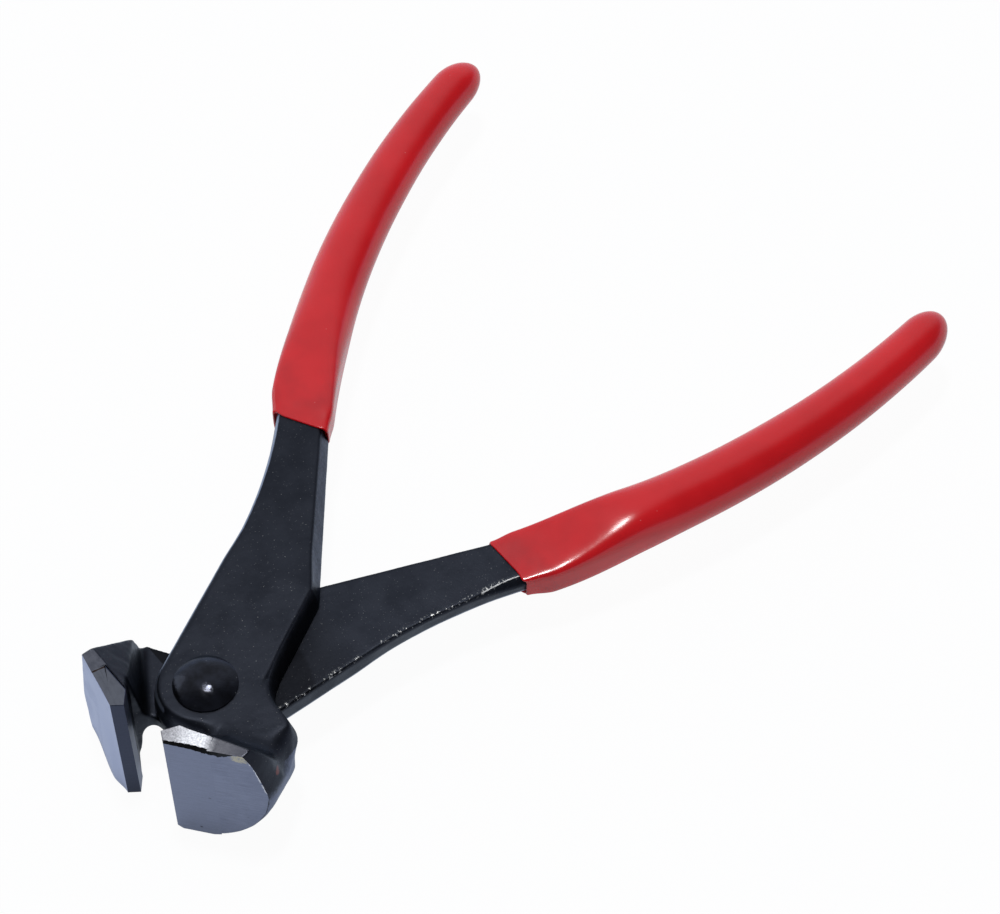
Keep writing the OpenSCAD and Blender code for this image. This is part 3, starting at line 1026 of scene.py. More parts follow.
@dataclass
class Forging:
    """One forged half: jaw, neck, strap and bar in one skin with fillets.

    Its lumps meet in fillets that no single grid of two parameters follows, so it is the zero level of a
    distance field: smooth unions and intersections of extruded outlines, on a grid of the given step.
    bar_swell is how much wider the bar's inner wall stands than the strap's. die_waves and jaw_wave give the
    height, length and seed of the unevenness.
    """

    nose: Nose
    cheek: Cheek
    bar_swell: float
    step: float = 0.30
    grid_low: tuple[float, float, float] = (-23.0, -23.0, -18.2)
    grid_high: tuple[float, float, float] = (28.0, 79.5, 18.2)
    smoothing_passes: int = 2
    smoothing: float = 0.5
    front_steps: int = 32
    bend_points: int = 16
    crease: float = 40.0
    lap_gap: float = 0.1
    lap_thickness: float = 6.5
    strap_half_width: float = 11.1
    strap_inner: float = 12.0
    boss_radius: float = 10.3
    edge_bevel: float = 1.4
    lap_bevel: float = 0.25
    cuff_bevel: float = 1.6
    cuff_bevel_length: float = 15.0
    strap_draft: float = 0.11
    bar_draft: float = 0.22
    draft_height: float = 1.0
    draft_change: float = 10.0
    draft_start: Span = (-14.0, -8.0)
    swell_height: float = 4.3
    swell_run: Span = (0.0, 3.0)
    shoulder_reach: float = 30.0
    bend_reach: float = 33.0
    cuff_reach: float = 70.3
    cuff_bar_width: float = 12.7
    cuff_bar_thickness: float = 5.3
    most_thinning: float = 1.2
    tang_reach: float = 78.0
    cheek_back_angle: float = 32.6
    neck_radius: float = 7.5
    neck_relief: float = 0.8
    relief_run: float = 0.8
    neck_fillet: float = 2.6
    hollow_half_width: float = 6.2
    hollow_fillet: float = 7.0
    plan_fillet: float = 0.5
    fillet_run: float = 3.0
    wall_angle: float = 31.8
    wall_draft: float = 0.12
    wall_round: float = 3.0
    wall_round_run: float = 5.0
    own_roof_angle: float = 60.0
    far_roof_angle: float = 42.0
    least_round: float = 0.05
    slab_round: float = 0.35
    side_round: float = 0.4
    jaw_round: float = 0.5
    shoulder_round: float = 3.2
    shoulder_depth: Span = (2.0, 7.0)
    shoulder_x: Span = (8.0, 12.0)
    shoulder_y: Span = (-7.0, -1.0)
    shoulder_z: Span = (1.0, 4.0)
    grind_depth: float = 1.3
    land_stock: float = 0.3
    recess: float = 0.008
    handle_x_at_cuff: float = -10.9
    handle_lean: float = 0.33
    die_waves: tuple[tuple[float, float, int], ...] = ((0.018, 7.0, 3), (0.007, 2.6, 4))
    jaw_wave: tuple[float, float, int] = (0.02, 3.4, 5)
    jaw_wave_run: Span = (4.0, 8.0)
    land_past_wall: float = 1.0
    chip_from_face: float = 0.02
    chip_from_land: float = 0.25
    wear_and_light: WearAndLight = WearAndLight()

    @property
    def half_gap(self) -> float:
        """Height of the strap's mating face above the lap plane."""
        return self.lap_gap / 2

    def strap_outline(self) -> np.ndarray:
        """Outline of the strap and bar: a round front, a straight strap, a shoulder and a bent bar.

        Returns:
            Corners (n, 2), in order.
        """
        outer = self.handle_x_at_cuff - self.cuff_bar_width / 2
        inner = self.handle_x_at_cuff + self.cuff_bar_width / 2
        run, rise_out = self.cuff_reach - self.bend_reach, -self.strap_half_width - outer
        radius = (run * run + rise_out * rise_out) / (2 * rise_out)
        y = np.linspace(self.tang_reach, self.bend_reach, self.bend_points)
        bend = -self.strap_half_width - radius + np.sqrt(radius**2 - (y - self.bend_reach) ** 2)
        lean = (inner - self.strap_half_width) / (self.cuff_reach - self.shoulder_reach)
        inner_end = self.strap_half_width + lean * (self.tang_reach - self.shoulder_reach)
        boss = [self.boss_radius - self.strap_half_width, 0.0]
        front = arc(boss, self.boss_radius, 180, 360, self.front_steps)
        shoulder = [[self.strap_inner, 0.0], [self.strap_half_width + self.bar_swell, self.shoulder_reach],
                    [inner_end + self.bar_swell / 2, self.tang_reach]]
        return np.concatenate([front, shoulder, np.stack([bend, y], axis=1)])

    def jaw_outline(self) -> np.ndarray:
        """Outline of the rough jaw and neck, seen along the rivet, before its front face is ground.

        Returns:
            Corners (n, 2), in order.
        """
        nose = self.nose
        slope = math.tan(math.radians(self.wall_angle))
        start = nose.wall_start
        side = self.cheek
        rough = side.corner_radius + self.grind_depth
        face_width = side.widest - rough
        corner = nose.front_corner + face_width * nose.along + side.corner_radius * nose.behind
        cheek = nose.front_corner + side.back_along * nose.along + side.back_behind * nose.behind
        angle = math.radians(self.cheek_back_angle)
        normal = np.array([math.sin(angle), math.cos(angle)])
        neck_x = self.strap_inner + self.neck_radius
        reach = normal @ cheek + side.back_radius + self.neck_radius - normal[0] * neck_x
        neck_y = reach / normal[1]
        hollow_y = start[1] + (self.hollow_half_width - start[0]) * slope
        return np.concatenate([
            [nose.front_corner - self.grind_depth * nose.behind, nose.edge, start],
            [[self.hollow_half_width, hollow_y], [self.hollow_half_width, 0.0], [self.strap_inner, neck_y]],
            arc([neck_x, neck_y], self.neck_radius, 180, 270 - self.cheek_back_angle),
            arc(cheek, side.back_radius, 90 - self.cheek_back_angle, 0),
            arc(corner, rough, 0, self.nose.face_sweep - 90),
        ])

    def inward(self, x: np.ndarray, y: np.ndarray) -> np.ndarray:
        """Distance from the bar's middle line towards its inner side."""
        return x - self.handle_x_at_cuff - self.handle_lean * (self.cuff_reach - y)

    def lap_edge_bevel(self, x: np.ndarray, y: np.ndarray) -> np.ndarray:
        """Width of the bevel round the lap face, which grows along the bar's outer edge towards the cuff."""
        grown = self.cuff_bevel * rise(y, (self.cuff_reach - self.cuff_bevel_length, self.cuff_reach))
        return self.lap_bevel + np.where(self.inward(x, y) < 0.0, grown, 0.0)

    def strap_planes(self, plan: np.ndarray, x: np.ndarray, y: np.ndarray,
                     z: np.ndarray) -> list[np.ndarray]:
        """Distances outside the strap's drafted wall, top bevel, top, lap bevel and lap face.

        Args:
            plan: distance outside the strap's outline.
            x: coordinates in millimetres.
            y: coordinates.
            z: heights.

        Returns:
            The five distances, in that order.
        """
        diagonal = math.sqrt(2.0)
        past_shoulder = (y - self.shoulder_reach) / (self.cuff_reach - self.shoulder_reach)
        thinning = np.clip(past_shoulder, 0.0, self.most_thinning)
        top = self.half_gap + mix(self.lap_thickness, self.cuff_bar_thickness, thinning)
        change = rise(y, (self.shoulder_reach, self.shoulder_reach + self.draft_change))
        draft = mix(self.strap_draft, self.bar_draft, change) * rise(y, self.draft_start)
        draft = draft + self.bar_swell / self.swell_height * rise(self.inward(x, y), self.swell_run)
        return [
            plan + draft * np.maximum(z - self.draft_height, 0.0),
            (plan + z - top + self.edge_bevel) / diagonal,
            z - top,
            (plan + self.half_gap - z + self.lap_edge_bevel(x, y)) / diagonal,
            self.half_gap - z,
        ]

    def shoulder(self, x: np.ndarray, y: np.ndarray, depth: np.ndarray) -> np.ndarray:
        """Share of the soft rounding: 1 on the shoulder, and 0 at the face, the strap and the hollow."""
        behind = rise(depth, self.shoulder_depth)
        return behind * (1.0 - rise(y, self.shoulder_y)) * rise(x, self.shoulder_x)

    def block(self, side: np.ndarray, x: np.ndarray, y: np.ndarray, z: np.ndarray) -> np.ndarray:
        """Distance outside the jaw's block, between its inner wall, two roofs and rough ends.

        The wall's outer corner is rounded, and the roof at the own side stops inside the strap's thickness.

        Args:
            side: distance outside the drafted outline.
            x: coordinates in millimetres.
            y: coordinates.
            z: heights.

        Returns:
            The distances.
        """
        start_x, start_y = self.nose.wall_start
        rough_end = self.nose.half_edge + self.land_stock
        lean = math.radians(self.wall_angle)
        own, far = math.radians(self.own_roof_angle), math.radians(self.far_roof_angle)
        wall = (y - start_y) * math.cos(lean) - (x - start_x) * math.sin(lean)
        wall = wall - self.wall_draft * (self.nose.half_edge - np.abs(z))
        outer = rise(x, (self.strap_inner, self.strap_inner + self.wall_round_run))
        wall = round_meet(mix(self.least_round, self.wall_round, outer), wall, side)
        own_roof = (y - start_y) * math.sin(own) + (z - rough_end) * math.cos(own)
        own_roof = np.minimum(own_roof, z - self.lap_thickness / 2)
        far_roof = (y - start_y) * math.sin(far) - (z + rough_end) * math.cos(far)
        return round_meet(self.jaw_round, wall, own_roof, far_roof, np.abs(z) - rough_end)

    def distance(self, x: np.ndarray, y: np.ndarray, z: np.ndarray) -> np.ndarray:
        """Signed distance of the half.

        The outlines of strap and jaw are joined with a fillet in the hollow. The slab of strap and neck and
        the jaw's block are joined with a fillet too, then cut to the joined outline and the cheek, with soft
        edges on the shoulder, and at last the tip's seat is cut out.

        Args:
            x: coordinates in millimetres, broadcast along the grid's first axis.
            y: coordinates along the second.
            z: heights along the third.

        Returns:
            Distances on the grid, negative inside.
        """
        nose = self.nose
        flat_x, flat_y = np.broadcast_arrays(x[:, :, 0], y[:, :, 0])
        strap_plan = outline_distance(self.strap_outline(), flat_x, flat_y)[:, :, None]
        jaw_plan = outline_distance(self.jaw_outline(), flat_x, flat_y)[:, :, None]
        past_hollow = rise(x, (self.hollow_half_width, self.hollow_half_width + self.fillet_run))
        plan = round_join(strap_plan, jaw_plan, mix(self.hollow_fillet, self.plan_fillet, past_hollow))
        side, bevel, top, lap_bevel, lap_face = self.strap_planes(plan, x, y, z)
        relief = self.neck_relief * np.clip(strap_plan / self.relief_run, 0.0, 1.0)
        s, depth = nose.face_place(x, y)
        soft = self.shoulder(x, y, depth)
        slab_round = mix(self.slab_round, self.shoulder_round, soft)
        slab = round_meet(slab_round, bevel, top, lap_bevel, lap_face + relief)
        lumps = round_join(self.block(side, x, y, z), slab, self.neck_fillet)
        side_round = mix(self.side_round, self.shoulder_round, soft * rise(z, self.shoulder_z))
        cheek = self.cheek.outside(s, depth, z, nose.half_edge)
        body = round_meet(side_round, lumps, np.maximum(side, cheek))
        seat = np.maximum(x - nose.tip_width, y - nose.wall_start[1])
        return np.maximum(body, -seat)

    def rough_skin(self) -> tuple[np.ndarray, np.ndarray]:
        """Skin of the forging before it is ground, a little uneven as a die leaves it.

        Returns:
            Points and quads.
        """
        low, high = np.array(self.grid_low), np.array(self.grid_high)
        count = np.ceil((high - low) / self.step).astype(int)
        x, y, z = (low[a] + self.step * np.arange(count[a]) for a in range(3))
        field = self.distance(x[:, None, None], y[None, :, None], z[None, None, :])
        points, quads = surface_net(field, low, self.step)
        for _ in range(self.smoothing_passes):
            points = mix(points, neighbour_mean(points, quads), self.smoothing)
        uneven = sum(height * ripple(points, length, seed) for height, length, seed in self.die_waves)
        height, length, seed = self.jaw_wave
        uneven += rise(-points[:, 1], self.jaw_wave_run) * height * ripple(points, length, seed)
        return points + point_normals(points, quads) * uneven[:, None], quads

    def strap_marks(self, points: np.ndarray) -> dict[str, np.ndarray]:
        """Numbers that place the worn marks, the painted shade, reflections and highlight on the strap and
        bar, as the finish reads them.

        Args:
            points: the rough skin, in millimetres.

        Returns:
            Arrays by name.
        """
        x, y, z = points.T
        wear_and_light = self.wear_and_light
        plan = outline_distance(self.strap_outline(), x, y)
        wall, bevel, top, *_ = self.strap_planes(plan, x, y, z)
        above, past_shoulder = z - self.half_gap, y - self.shoulder_reach
        outer = self.inward(x, y) < 0.0
        lap = (above > wear_and_light.lap_zone[0]) & (above < wear_and_light.lap_zone[1]) & (y > 0.0)
        inside_edge = -plan - self.lap_edge_bevel(x, y)
        # Painted highlight along the lap face's outer edge, over the last stretch before the cuff.
        line_from = self.cuff_reach - wear_and_light.line_length
        faded = 1.0 - rise(y, (line_from, line_from + wear_and_light.line_run))
        line = np.abs(inside_edge) + wear_and_light.line_fade * faded
        # Painted reflection along the outer top edge, fading out towards the bar's inner side.
        reflecting_edge = np.hypot(wall, bevel) + wear_and_light.reflection_fade * rise(x, wear_and_light.reflection_run)
        # Painted shade on the strap's inner wall, from the lap face up.
        shaded_wall = (y > wear_and_light.wall_shade_start) & (past_shoulder < wear_and_light.wall_shade_past_shoulder)
        shaded_wall = shaded_wall & ~outer & (plan > -wear_and_light.wall_shade_depth)
        # Painted reflection: a lighter bluish strip on the bar's inner wall.
        painted_sheen = np.minimum(-wear_and_light.sheen_below_top - top, past_shoulder - wear_and_light.sheen_past_shoulder)
        bar_wall = ~outer & (plan > -wear_and_light.sheen_depth) & (above > wear_and_light.sheen_height)
        return {
            "lap_edge": np.where(lap & outer, inside_edge, FAR_AWAY),
            "top_edge_reflection": np.where(outer & (above > wear_and_light.reflection_height), reflecting_edge, FAR_AWAY),
            "cuff_highlight_line": np.where(lap & outer, line, FAR_AWAY),
            # Painted shade round the joint, on the lap face.
            "joint_shade": np.where(lap, wear_and_light.joint_shade_radius - np.hypot(x, y), -FAR_AWAY),
            "wall_shade": np.where(shaded_wall, -wear_and_light.wall_shade_below_top - top, -FAR_AWAY),
            "painted_sheen": np.where(bar_wall, np.clip(painted_sheen, -FAR_AWAY, wear_and_light.most_sheen), -FAR_AWAY),
        }

    def jaw_marks(self, points: np.ndarray) -> dict[str, np.ndarray]:
        """Numbers that place the marks on the jaw, as the finish reads them.

        Args:
            points: the rough skin, in millimetres.

        Returns:
            Arrays by name.
        """
        x, y, z = points.T
        nose, wear_and_light, chipped = self.nose, self.wear_and_light, self.nose.chipped
        s, depth = nose.face_place(x, y)
        (patch_s, patch_z), (patch_length, patch_height) = wear_and_light.patch_place, wear_and_light.patch_size
        patch = 1.0 - np.hypot((s - patch_s) / patch_length, (z - patch_z) / patch_height)
        rust = 1.0 - np.linalg.norm(points - np.array(wear_and_light.rust_place), axis=1) / wear_and_light.rust_radius
        own_side, far_side = self.cheek.sides(s, depth, z, nose.half_edge)
        on_side = (depth > wear_and_light.cheek_behind) & (s > wear_and_light.cheek_start)
        on_side = on_side & (np.maximum(own_side, far_side) > -wear_and_light.cheek_depth)
        # Painted reflection on a round cheek's outer side.
        sheen_cheek = on_side & (self.cheek.far_end is FarEnd.ROUND)
        border = -self.cheek.outside(s, 0.0 * s, z, nose.half_edge)
        return {
            "painted_sheen": np.where(sheen_cheek, far_side - own_side, -FAR_AWAY),
            "patch": np.where((depth < wear_and_light.patch_depth) & (chipped > 0.5), patch, -FAR_AWAY),
            "border": border + FAR_AWAY * (1.0 - rise(z, wear_and_light.border_run)),
            "spot": rust * chipped - (1.0 - chipped),
        }

    def marks(self, points: np.ndarray) -> dict[str, np.ndarray]:
        """All marks by name. The painted reflection on inner walls is the jaw's in front of the rivet and the
        bar's behind it.
        """
        strap, jaw = self.strap_marks(points), self.jaw_marks(points)
        return strap | jaw | {"painted_sheen": np.where(points[:, 1] < 0.0, jaw["painted_sheen"], strap["painted_sheen"])}

    def grind(self, points: np.ndarray) -> dict[str, np.ndarray]:
        """Moves the rough points onto the ground planes, and says how deep each plane cut.

        Args:
            points: the rough skin, changed in place.

        Returns:
            Depths in millimetres by name, above 0 where a plane cut.
        """
        nose = self.nose
        uncut = -1.0
        s, depth = nose.face_place(points[:, 0], points[:, 1])
        depth += nose.convex(s, points[:, 2])
        points[:, :2] += np.maximum(self.recess - depth, 0.0)[:, None] * nose.behind
        jaw = points[:, 1] < nose.wall_start[1] + self.land_past_wall
        land = nose.own_land_height(points[:, 1]) - self.recess
        own = np.where(jaw, points[:, 2] - land, uncut)
        far = np.where(jaw, -nose.half_edge + self.recess - points[:, 2], uncut)
        points[:, 2] += np.maximum(far, 0.0) - np.maximum(own, 0.0)
        drop, back = nose.chip(s)
        up = points[:, 2] - (nose.own_land_height(points[:, 1]) - drop)
        near = (depth < self.chip_from_face) & (own < self.chip_from_land) & (s < nose.chip_places[-1])
        cut = np.where(near, np.clip(up / drop, 0.0, 1.0) * back, 0.0)
        points[:, :2] += cut[:, None] * nose.behind
        # Depth of the chip, which carries its near-black painted shade.
        chip_shade = np.where(near & (nose.chipped > 0.5), up, uncut)
        return {"ground": -depth, "own_land": own, "far_land": far, "chip_shade": chip_shade}

    def build(self, side: Side, placement: Placement, finish: bpy.types.Material) -> bpy.types.Object:
        """Grinds the rough forging's front face and lands flat, and places it.

        Args:
            side: which half.
            placement: carries it into the frame.
            finish: its material.

        Returns:
            The dressed piece, riding on its body.
        """
        points, quads = self.rough_skin()
        brush = self.nose.brush(points)
        numbers = self.marks(points) | self.grind(points)
        piece = add_piece(f"forged_{side.value}_half", placement.place(points, side), quads.tolist(),
                          Shading.CREASED, math.radians(self.crease))
        for name, values in numbers.items():
            store(piece, name, values)
        store(piece, "brush", brush)
        piece.data.materials.append(finish)
        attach(piece, side.value)
        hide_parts(f"{side.value}_half")
        return piece


class Facet(Enum):
    """Kinds of face on a cutting tip, in the order of its materials."""

    FACE = 0
    BEVEL = 1
    INNER = 2
    LAND = 3
    FAR_LAND = 4
    CHIP = 5


@dataclass
class CuttingTip:
    """Brazed cutting tip: the nose's section carried along the rivet's direction from end to end.

    rows is the number of sections and face_columns the number of points across the front face. The sides are,
    in order: front bevel, bevel behind the edge, root, seam side and front face.
    """

    nose: Nose
    cheek: Cheek
    rows: int = 64
    face_columns: int = 40
    bevel_columns: int = 4
    chamfer: float = 0.10
    bury: float = 0.45
    strip_width: float = 0.25
    corner_round: float = 1.1
    crease: float = 12.0

    @property
    def side_columns(self) -> np.ndarray:
        """Number of the side that each column is on."""
        few, many = self.bevel_columns, self.face_columns
        return np.repeat(np.arange(5), [few, few, many, few, many])

    def sections(self, z: np.ndarray) -> np.ndarray:
        """Sections of the tip, shorter where the jaw's far end is round: points even along each side.

        Args:
            z: heights.

        Returns:
            Array (rows, columns, 2).
        """
        nose = self.nose
        full = (nose.tip_width - nose.front_corner[0]) / nose.along[0] + self.bury
        length = np.minimum(full, self.cheek.reach(z, nose.half_edge))
        far = nose.front_corner + length[:, None] * nose.along
        back = far + nose.behind * ((nose.wall_start[1] - far[:, 1]) / nose.behind[1])[:, None]
        front = (nose.front_corner, nose.edge, nose.wall_start)
        fixed = [np.broadcast_to(point, far.shape) for point in front]
        corners = [*fixed, back, far, fixed[0]]
        counts = np.bincount(self.side_columns)
        runs = [
            mix(first[:, None], second[:, None], np.arange(count)[None, :, None] / count)
            for first, second, count in zip(corners[:-1], corners[1:], counts)
        ]
        return np.concatenate(runs, axis=1)

    def rings(self) -> np.ndarray:
        """Sections at even heights, whose first and last are drawn in so that the ends have narrow bevels.

        Returns:
            Array (rows, columns, 3).
        """
        nose, columns = self.nose, self.side_columns
        flat = self.sections(np.linspace(-nose.half_edge, nose.half_edge, self.rows))
        s, _ = nose.face_place(flat[:, :, 0], flat[:, :, 1])
        front = (columns == 4) | (np.arange(len(columns)) == 0)
        root = columns == 2
        inward = flat.mean(axis=1, keepdims=True) - flat
        inward *= self.chamfer / np.linalg.norm(inward, axis=2, keepdims=True)
        drop, back = nose.chip(np.maximum(s[-1], 0.0))
        strip = self.chamfer + self.strip_width * np.clip(s[0] / nose.tip_width, 0.0, 1.0)
        rounding = np.where(root, 0.0, self.corner_round * np.exp(-np.maximum(s[0], 0.0)))
        rounding *= self.cheek.far_end is FarEnd.ROUND
        low = -nose.half_edge + np.where(root, strip / 2, self.chamfer + rounding)
        high = nose.own_land_height(flat[-1, :, 1]) - np.where(front, drop, self.chamfer)
        share = np.clip((np.arange(self.rows) - 1) / (self.rows - 3), 0.0, 1.0)[:, None]
        z = mix(low, high, share)
        shift = inward[0] + rounding[:, None] * nose.along
        flat[0] += np.where(root[:, None], strip[:, None] * [0.0, -1.0], shift)
        flat -= np.where(front, nose.convex(s, z), 0.0)[:, :, None] * nose.behind
        flat[-1] += np.where(front[:, None], back[:, None] * nose.behind, inward[-1])
        z[0] = -nose.half_edge
        z[-1] = nose.own_land_height(flat[-1, :, 1])
        return np.concatenate([flat, z[:, :, None]], axis=2)

    def facets(self) -> np.ndarray:
        """Kind of each face, in the skin's order: the rows of quads, then the far end and the own end.

        Returns:
            One number of a kind for each face.
        """
        sides = np.array([Facet.BEVEL, Facet.INNER, Facet.BEVEL, Facet.BEVEL, Facet.FACE])
        kinds = np.array([facet.value for facet in sides])[self.side_columns]
        rows = np.repeat(kinds[None], self.rows - 1, axis=0)
        if self.nose.chipped > 0.5:
            rows[-1] = np.where(kinds == Facet.FACE.value, Facet.CHIP.value, kinds)
        ends = np.repeat([Facet.FAR_LAND.value, Facet.LAND.value], len(kinds))
        return np.concatenate([rows.ravel(), ends]).astype(np.int32)

    def build(self, side: Side, placement: Placement,
              finishes: dict[Facet, bpy.types.Material]) -> bpy.types.Object:
        """Makes the tip with one finish for each kind of face.

        Args:
            side: which half.
            placement: carries it into the frame.
            finishes: one material for each kind of face.

        Returns:
            The dressed piece, riding on its body.
        """
        points, faces = skin(self.rings())
        piece = add_piece(f"cutting_tip_{side.value}", placement.place(points, side), faces,
                          Shading.CREASED, math.radians(self.crease))
        store(piece, "brush", self.nose.brush(points))
        for facet in Facet:
            piece.data.materials.append(finishes[facet])
        piece.data.polygons.foreach_set("material_index", self.facets())
        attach(piece, side.value)
        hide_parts(f"{side.value}_cutting_tip")
        return piece


@dataclass
class PivotRivet:
    """Rivet with two domed heads: a profile of radius and height turned about the rivet's line.

    The foot and seat values round the rim under each cap. The domes sink by dome_sink, unevenly by dome_wave.
    """

    head_radius: float
    half_height: float
    seat: float = 6.6
    rim: float = 0.35
    foot_inset: float = 0.08
    foot_height: float = 0.12
    seat_inset: float = 0.35
    shank_radius: float = 4.0
    pole_angle: float = 0.004
    dome_sink: float = 0.03
    dome_wave: float = 0.02
    wave_length: float = 4.5
    wave_seed: int = 8
    cap_rows: int = 30
    columns: int = 128

    def profile(self) -> np.ndarray:
        """Profile from the lower head's middle to the upper head's: a cap, a small rim and the shank.

        Returns:
            Radius and height (n, 2).
        """
        cap_height = self.half_height - self.seat - self.rim
        ball = (self.head_radius**2 + cap_height**2) / (2 * cap_height)
        angle = np.linspace(self.pole_angle, math.asin(self.head_radius / ball), self.cap_rows)
        cap = np.stack([ball * np.sin(angle), self.half_height - ball * (1 - np.cos(angle))], axis=1)
        foot = [[self.head_radius - self.foot_inset, self.seat + self.foot_height],
                [self.head_radius - self.seat_inset, self.seat]]
        shank = [[self.shank_radius, self.seat]]
        upper = np.concatenate([cap, foot, shank])
        return np.concatenate([upper * [1, -1], upper[::-1]])

    def build(self, placement: Placement, finish: bpy.types.Material) -> bpy.types.Object:
        """Turns the profile, roughens the domes a little and places the rivet on the lower half.

        Args:
            placement: carries it into the frame.
            finish: its material.

        Returns:
            The dressed piece, riding on its body.
        """
        profile = self.profile()
        turn = np.linspace(0.0, 2.0 * math.pi, self.columns, endpoint=False)
        radius, height = profile[:, 0, None], profile[:, 1, None]
        rings = np.stack([radius * np.cos(turn), radius * np.sin(turn), height + 0 * turn], axis=2)
        points, faces = skin(rings)
        dome = np.clip(np.abs(points[:, 2]) - self.seat - self.rim, 0.0, 1.0)
        sink = self.dome_sink + self.dome_wave * ripple(points, self.wave_length, self.wave_seed)
        points[:, 2] -= np.sign(points[:, 2]) * dome * sink
        piece = add_piece("domed_rivet", placement.place(points, Side.LOWER), faces, Shading.CREASED)
        piece.data.materials.append(finish)
        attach(piece, Side.LOWER.value)
        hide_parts("pivot_rivet")
        return piece


@dataclass
class DippedGrip:
    """Dipped grip: a rounded section along the handle's arc, with a rolled lip, a pocket and a domed end.

    The pocket's rows lie inside the bar by hug, so that the cuff closes on it. squareness and roundness are
    the section's powers at the cuff and along the swelling.
    """

    cuff_reach: float = 70.3
    grip_reach: float = 190.9
    handle_radius: float = 225.0
    widest_reach: float = 146.0
    widest_half_span: float = 24.0
    bar_width: float = 12.7
    bar_thickness: float = 5.3
    bar_middle: float = 2.7
    cuff_lip: float = 1.25
    cuff_edge: float = 0.55
    cuff_flat: float = 4.0
    hug: float = 1.2
    feather_length: float = 6.0
    cuff_wave: float = 0.3
    grip_width: float = 14.4
    grip_thickness: float = 12.8
    swell_length: float = 29.0
    squareness: float = 0.26
    roundness: float = 0.97
    round_length: float = 37.7
    end_width: float = 11.0
    end_thickness: float = 10.2
    dome: float = 9.0
    pocket: float = 9.0
    shrink: float = 0.014
    unevenness: float = 0.008
    uneven_run: float = 20.0
    wave_length: float = 26.0
    grime_and_shade_length: float = 45.0
    pocket_rows: int = 6
    lip_rows: int = 11
    lip_turn: float = 80.0
    grip_rows: int = 130
    dome_rows: int = 26
    dome_turn: float = 88.0
    columns: int = 112

    def middle_x(self, y: np.ndarray) -> np.ndarray:
        """The handle's middle line: an arc of a circle."""
        drop = np.sqrt(self.handle_radius**2 - (y - self.widest_reach) ** 2)
        return self.handle_radius - self.widest_half_span - drop

    def past_cuff(self, y: np.ndarray, length: float) -> np.ndarray:
        """Share of a change that starts at the end of the cuff's flat part and takes that length."""
        start = self.cuff_reach + self.cuff_flat
        return rise(y, (start, start + length))

    def swell(self, y: np.ndarray) -> np.ndarray:
        """Share of the swelling reached at y."""
        return self.past_cuff(y, self.swell_length - self.cuff_flat)

    def feather(self, y: np.ndarray) -> np.ndarray:
        """Share of the vinyl's thickening from the cuff's edge."""
        return rise(y, (self.cuff_reach, self.cuff_reach + self.feather_length))

    def half_size(self, y: np.ndarray, bar: float, swelling: float, end: float) -> np.ndarray:
        """Half size along the grip: the bar with its vinyl, then the swelling, then a straight taper.

        Args:
            y: places along the grip.
            bar: size of the bar.
            swelling: size at the end of the swelling.
            end: size at the start of the dome.

        Returns:
            One half size for each place.
        """
        swell_end = self.cuff_reach + self.swell_length
        taper = np.clip((y - swell_end) / (self.grip_reach - self.dome - swell_end), 0.0, 1.0)
        vinyl = mix(self.cuff_edge, self.cuff_lip, self.feather(y))
        return mix(mix(bar / 2 + vinyl, swelling / 2, self.swell(y)), end / 2, taper)

    def rows(self) -> tuple[np.ndarray, np.ndarray, np.ndarray]:
        """Size of each section, from the pocket's floor over the lip to the end.

        Returns:
            Place, half width and half thickness.
        """
        inner_y = self.cuff_reach + np.linspace(self.pocket, self.cuff_edge, self.pocket_rows)
        roll = np.radians(np.linspace(-self.lip_turn, self.lip_turn, self.lip_rows))
        lip_y = self.cuff_reach + self.cuff_edge / 2 * (1 - np.cos(roll))
        lip_wall = self.cuff_edge / 2 * (1 + np.sin(roll))
        start, dome_start = self.cuff_reach + self.cuff_edge / 2, self.grip_reach - self.dome
        outer_y = np.linspace(start, dome_start, self.grip_rows)
        angle = np.radians(np.linspace(0, self.dome_turn, self.dome_rows)[1:])
        dome_y = dome_start + self.dome * np.sin(angle)
        y = np.concatenate([inner_y, lip_y, outer_y, dome_y])
        walls = np.concatenate([-self.hug + 0 * inner_y, lip_wall])
        narrowing = np.concatenate([1 + 0 * outer_y, np.cos(angle)])
        outside = np.concatenate([outer_y, dome_y])
        wide = self.half_size(outside, self.bar_width, self.grip_width, self.end_width)
        thick = self.half_size(outside, self.bar_thickness, self.grip_thickness, self.end_thickness)
        return (y, np.concatenate([self.bar_width / 2 + walls, wide * narrowing]),
                np.concatenate([self.bar_thickness / 2 + walls, thick * narrowing]))

    def rings(self) -> np.ndarray:
        """Sections along the handle, each a superellipse.

        It is nearly a rectangle at the cuff, where the bar's edges show through the vinyl, and rounder along
        the swelling. The cuff's edge waves along the bar by a sum of two sines.

        Returns:
            Array (rows, columns, 3).
        """
        y, wide, thick = self.rows()
        turn = np.linspace(0.0, 2.0 * math.pi, self.columns, endpoint=False)
        power = mix(self.squareness, self.roundness, self.past_cuff(y, self.round_length))[:, None]
        cosine, sine = np.cos(turn), np.sin(turn)
        across = np.sign(cosine) * np.abs(cosine) ** power
        up = np.sign(sine) * np.abs(sine) ** power
        middle_z = self.bar_middle * (1 - self.swell(y))
        wave = self.cuff_wave * (np.sin(2.0 * turn + 0.6) + 0.5 * np.sin(5.0 * turn))
        return np.stack([
            self.middle_x(y)[:, None] + wide[:, None] * across,
            y[:, None] + (1.0 - self.feather(y))[:, None] * wave,
            middle_z[:, None] - thick[:, None] * up,
        ], axis=2)

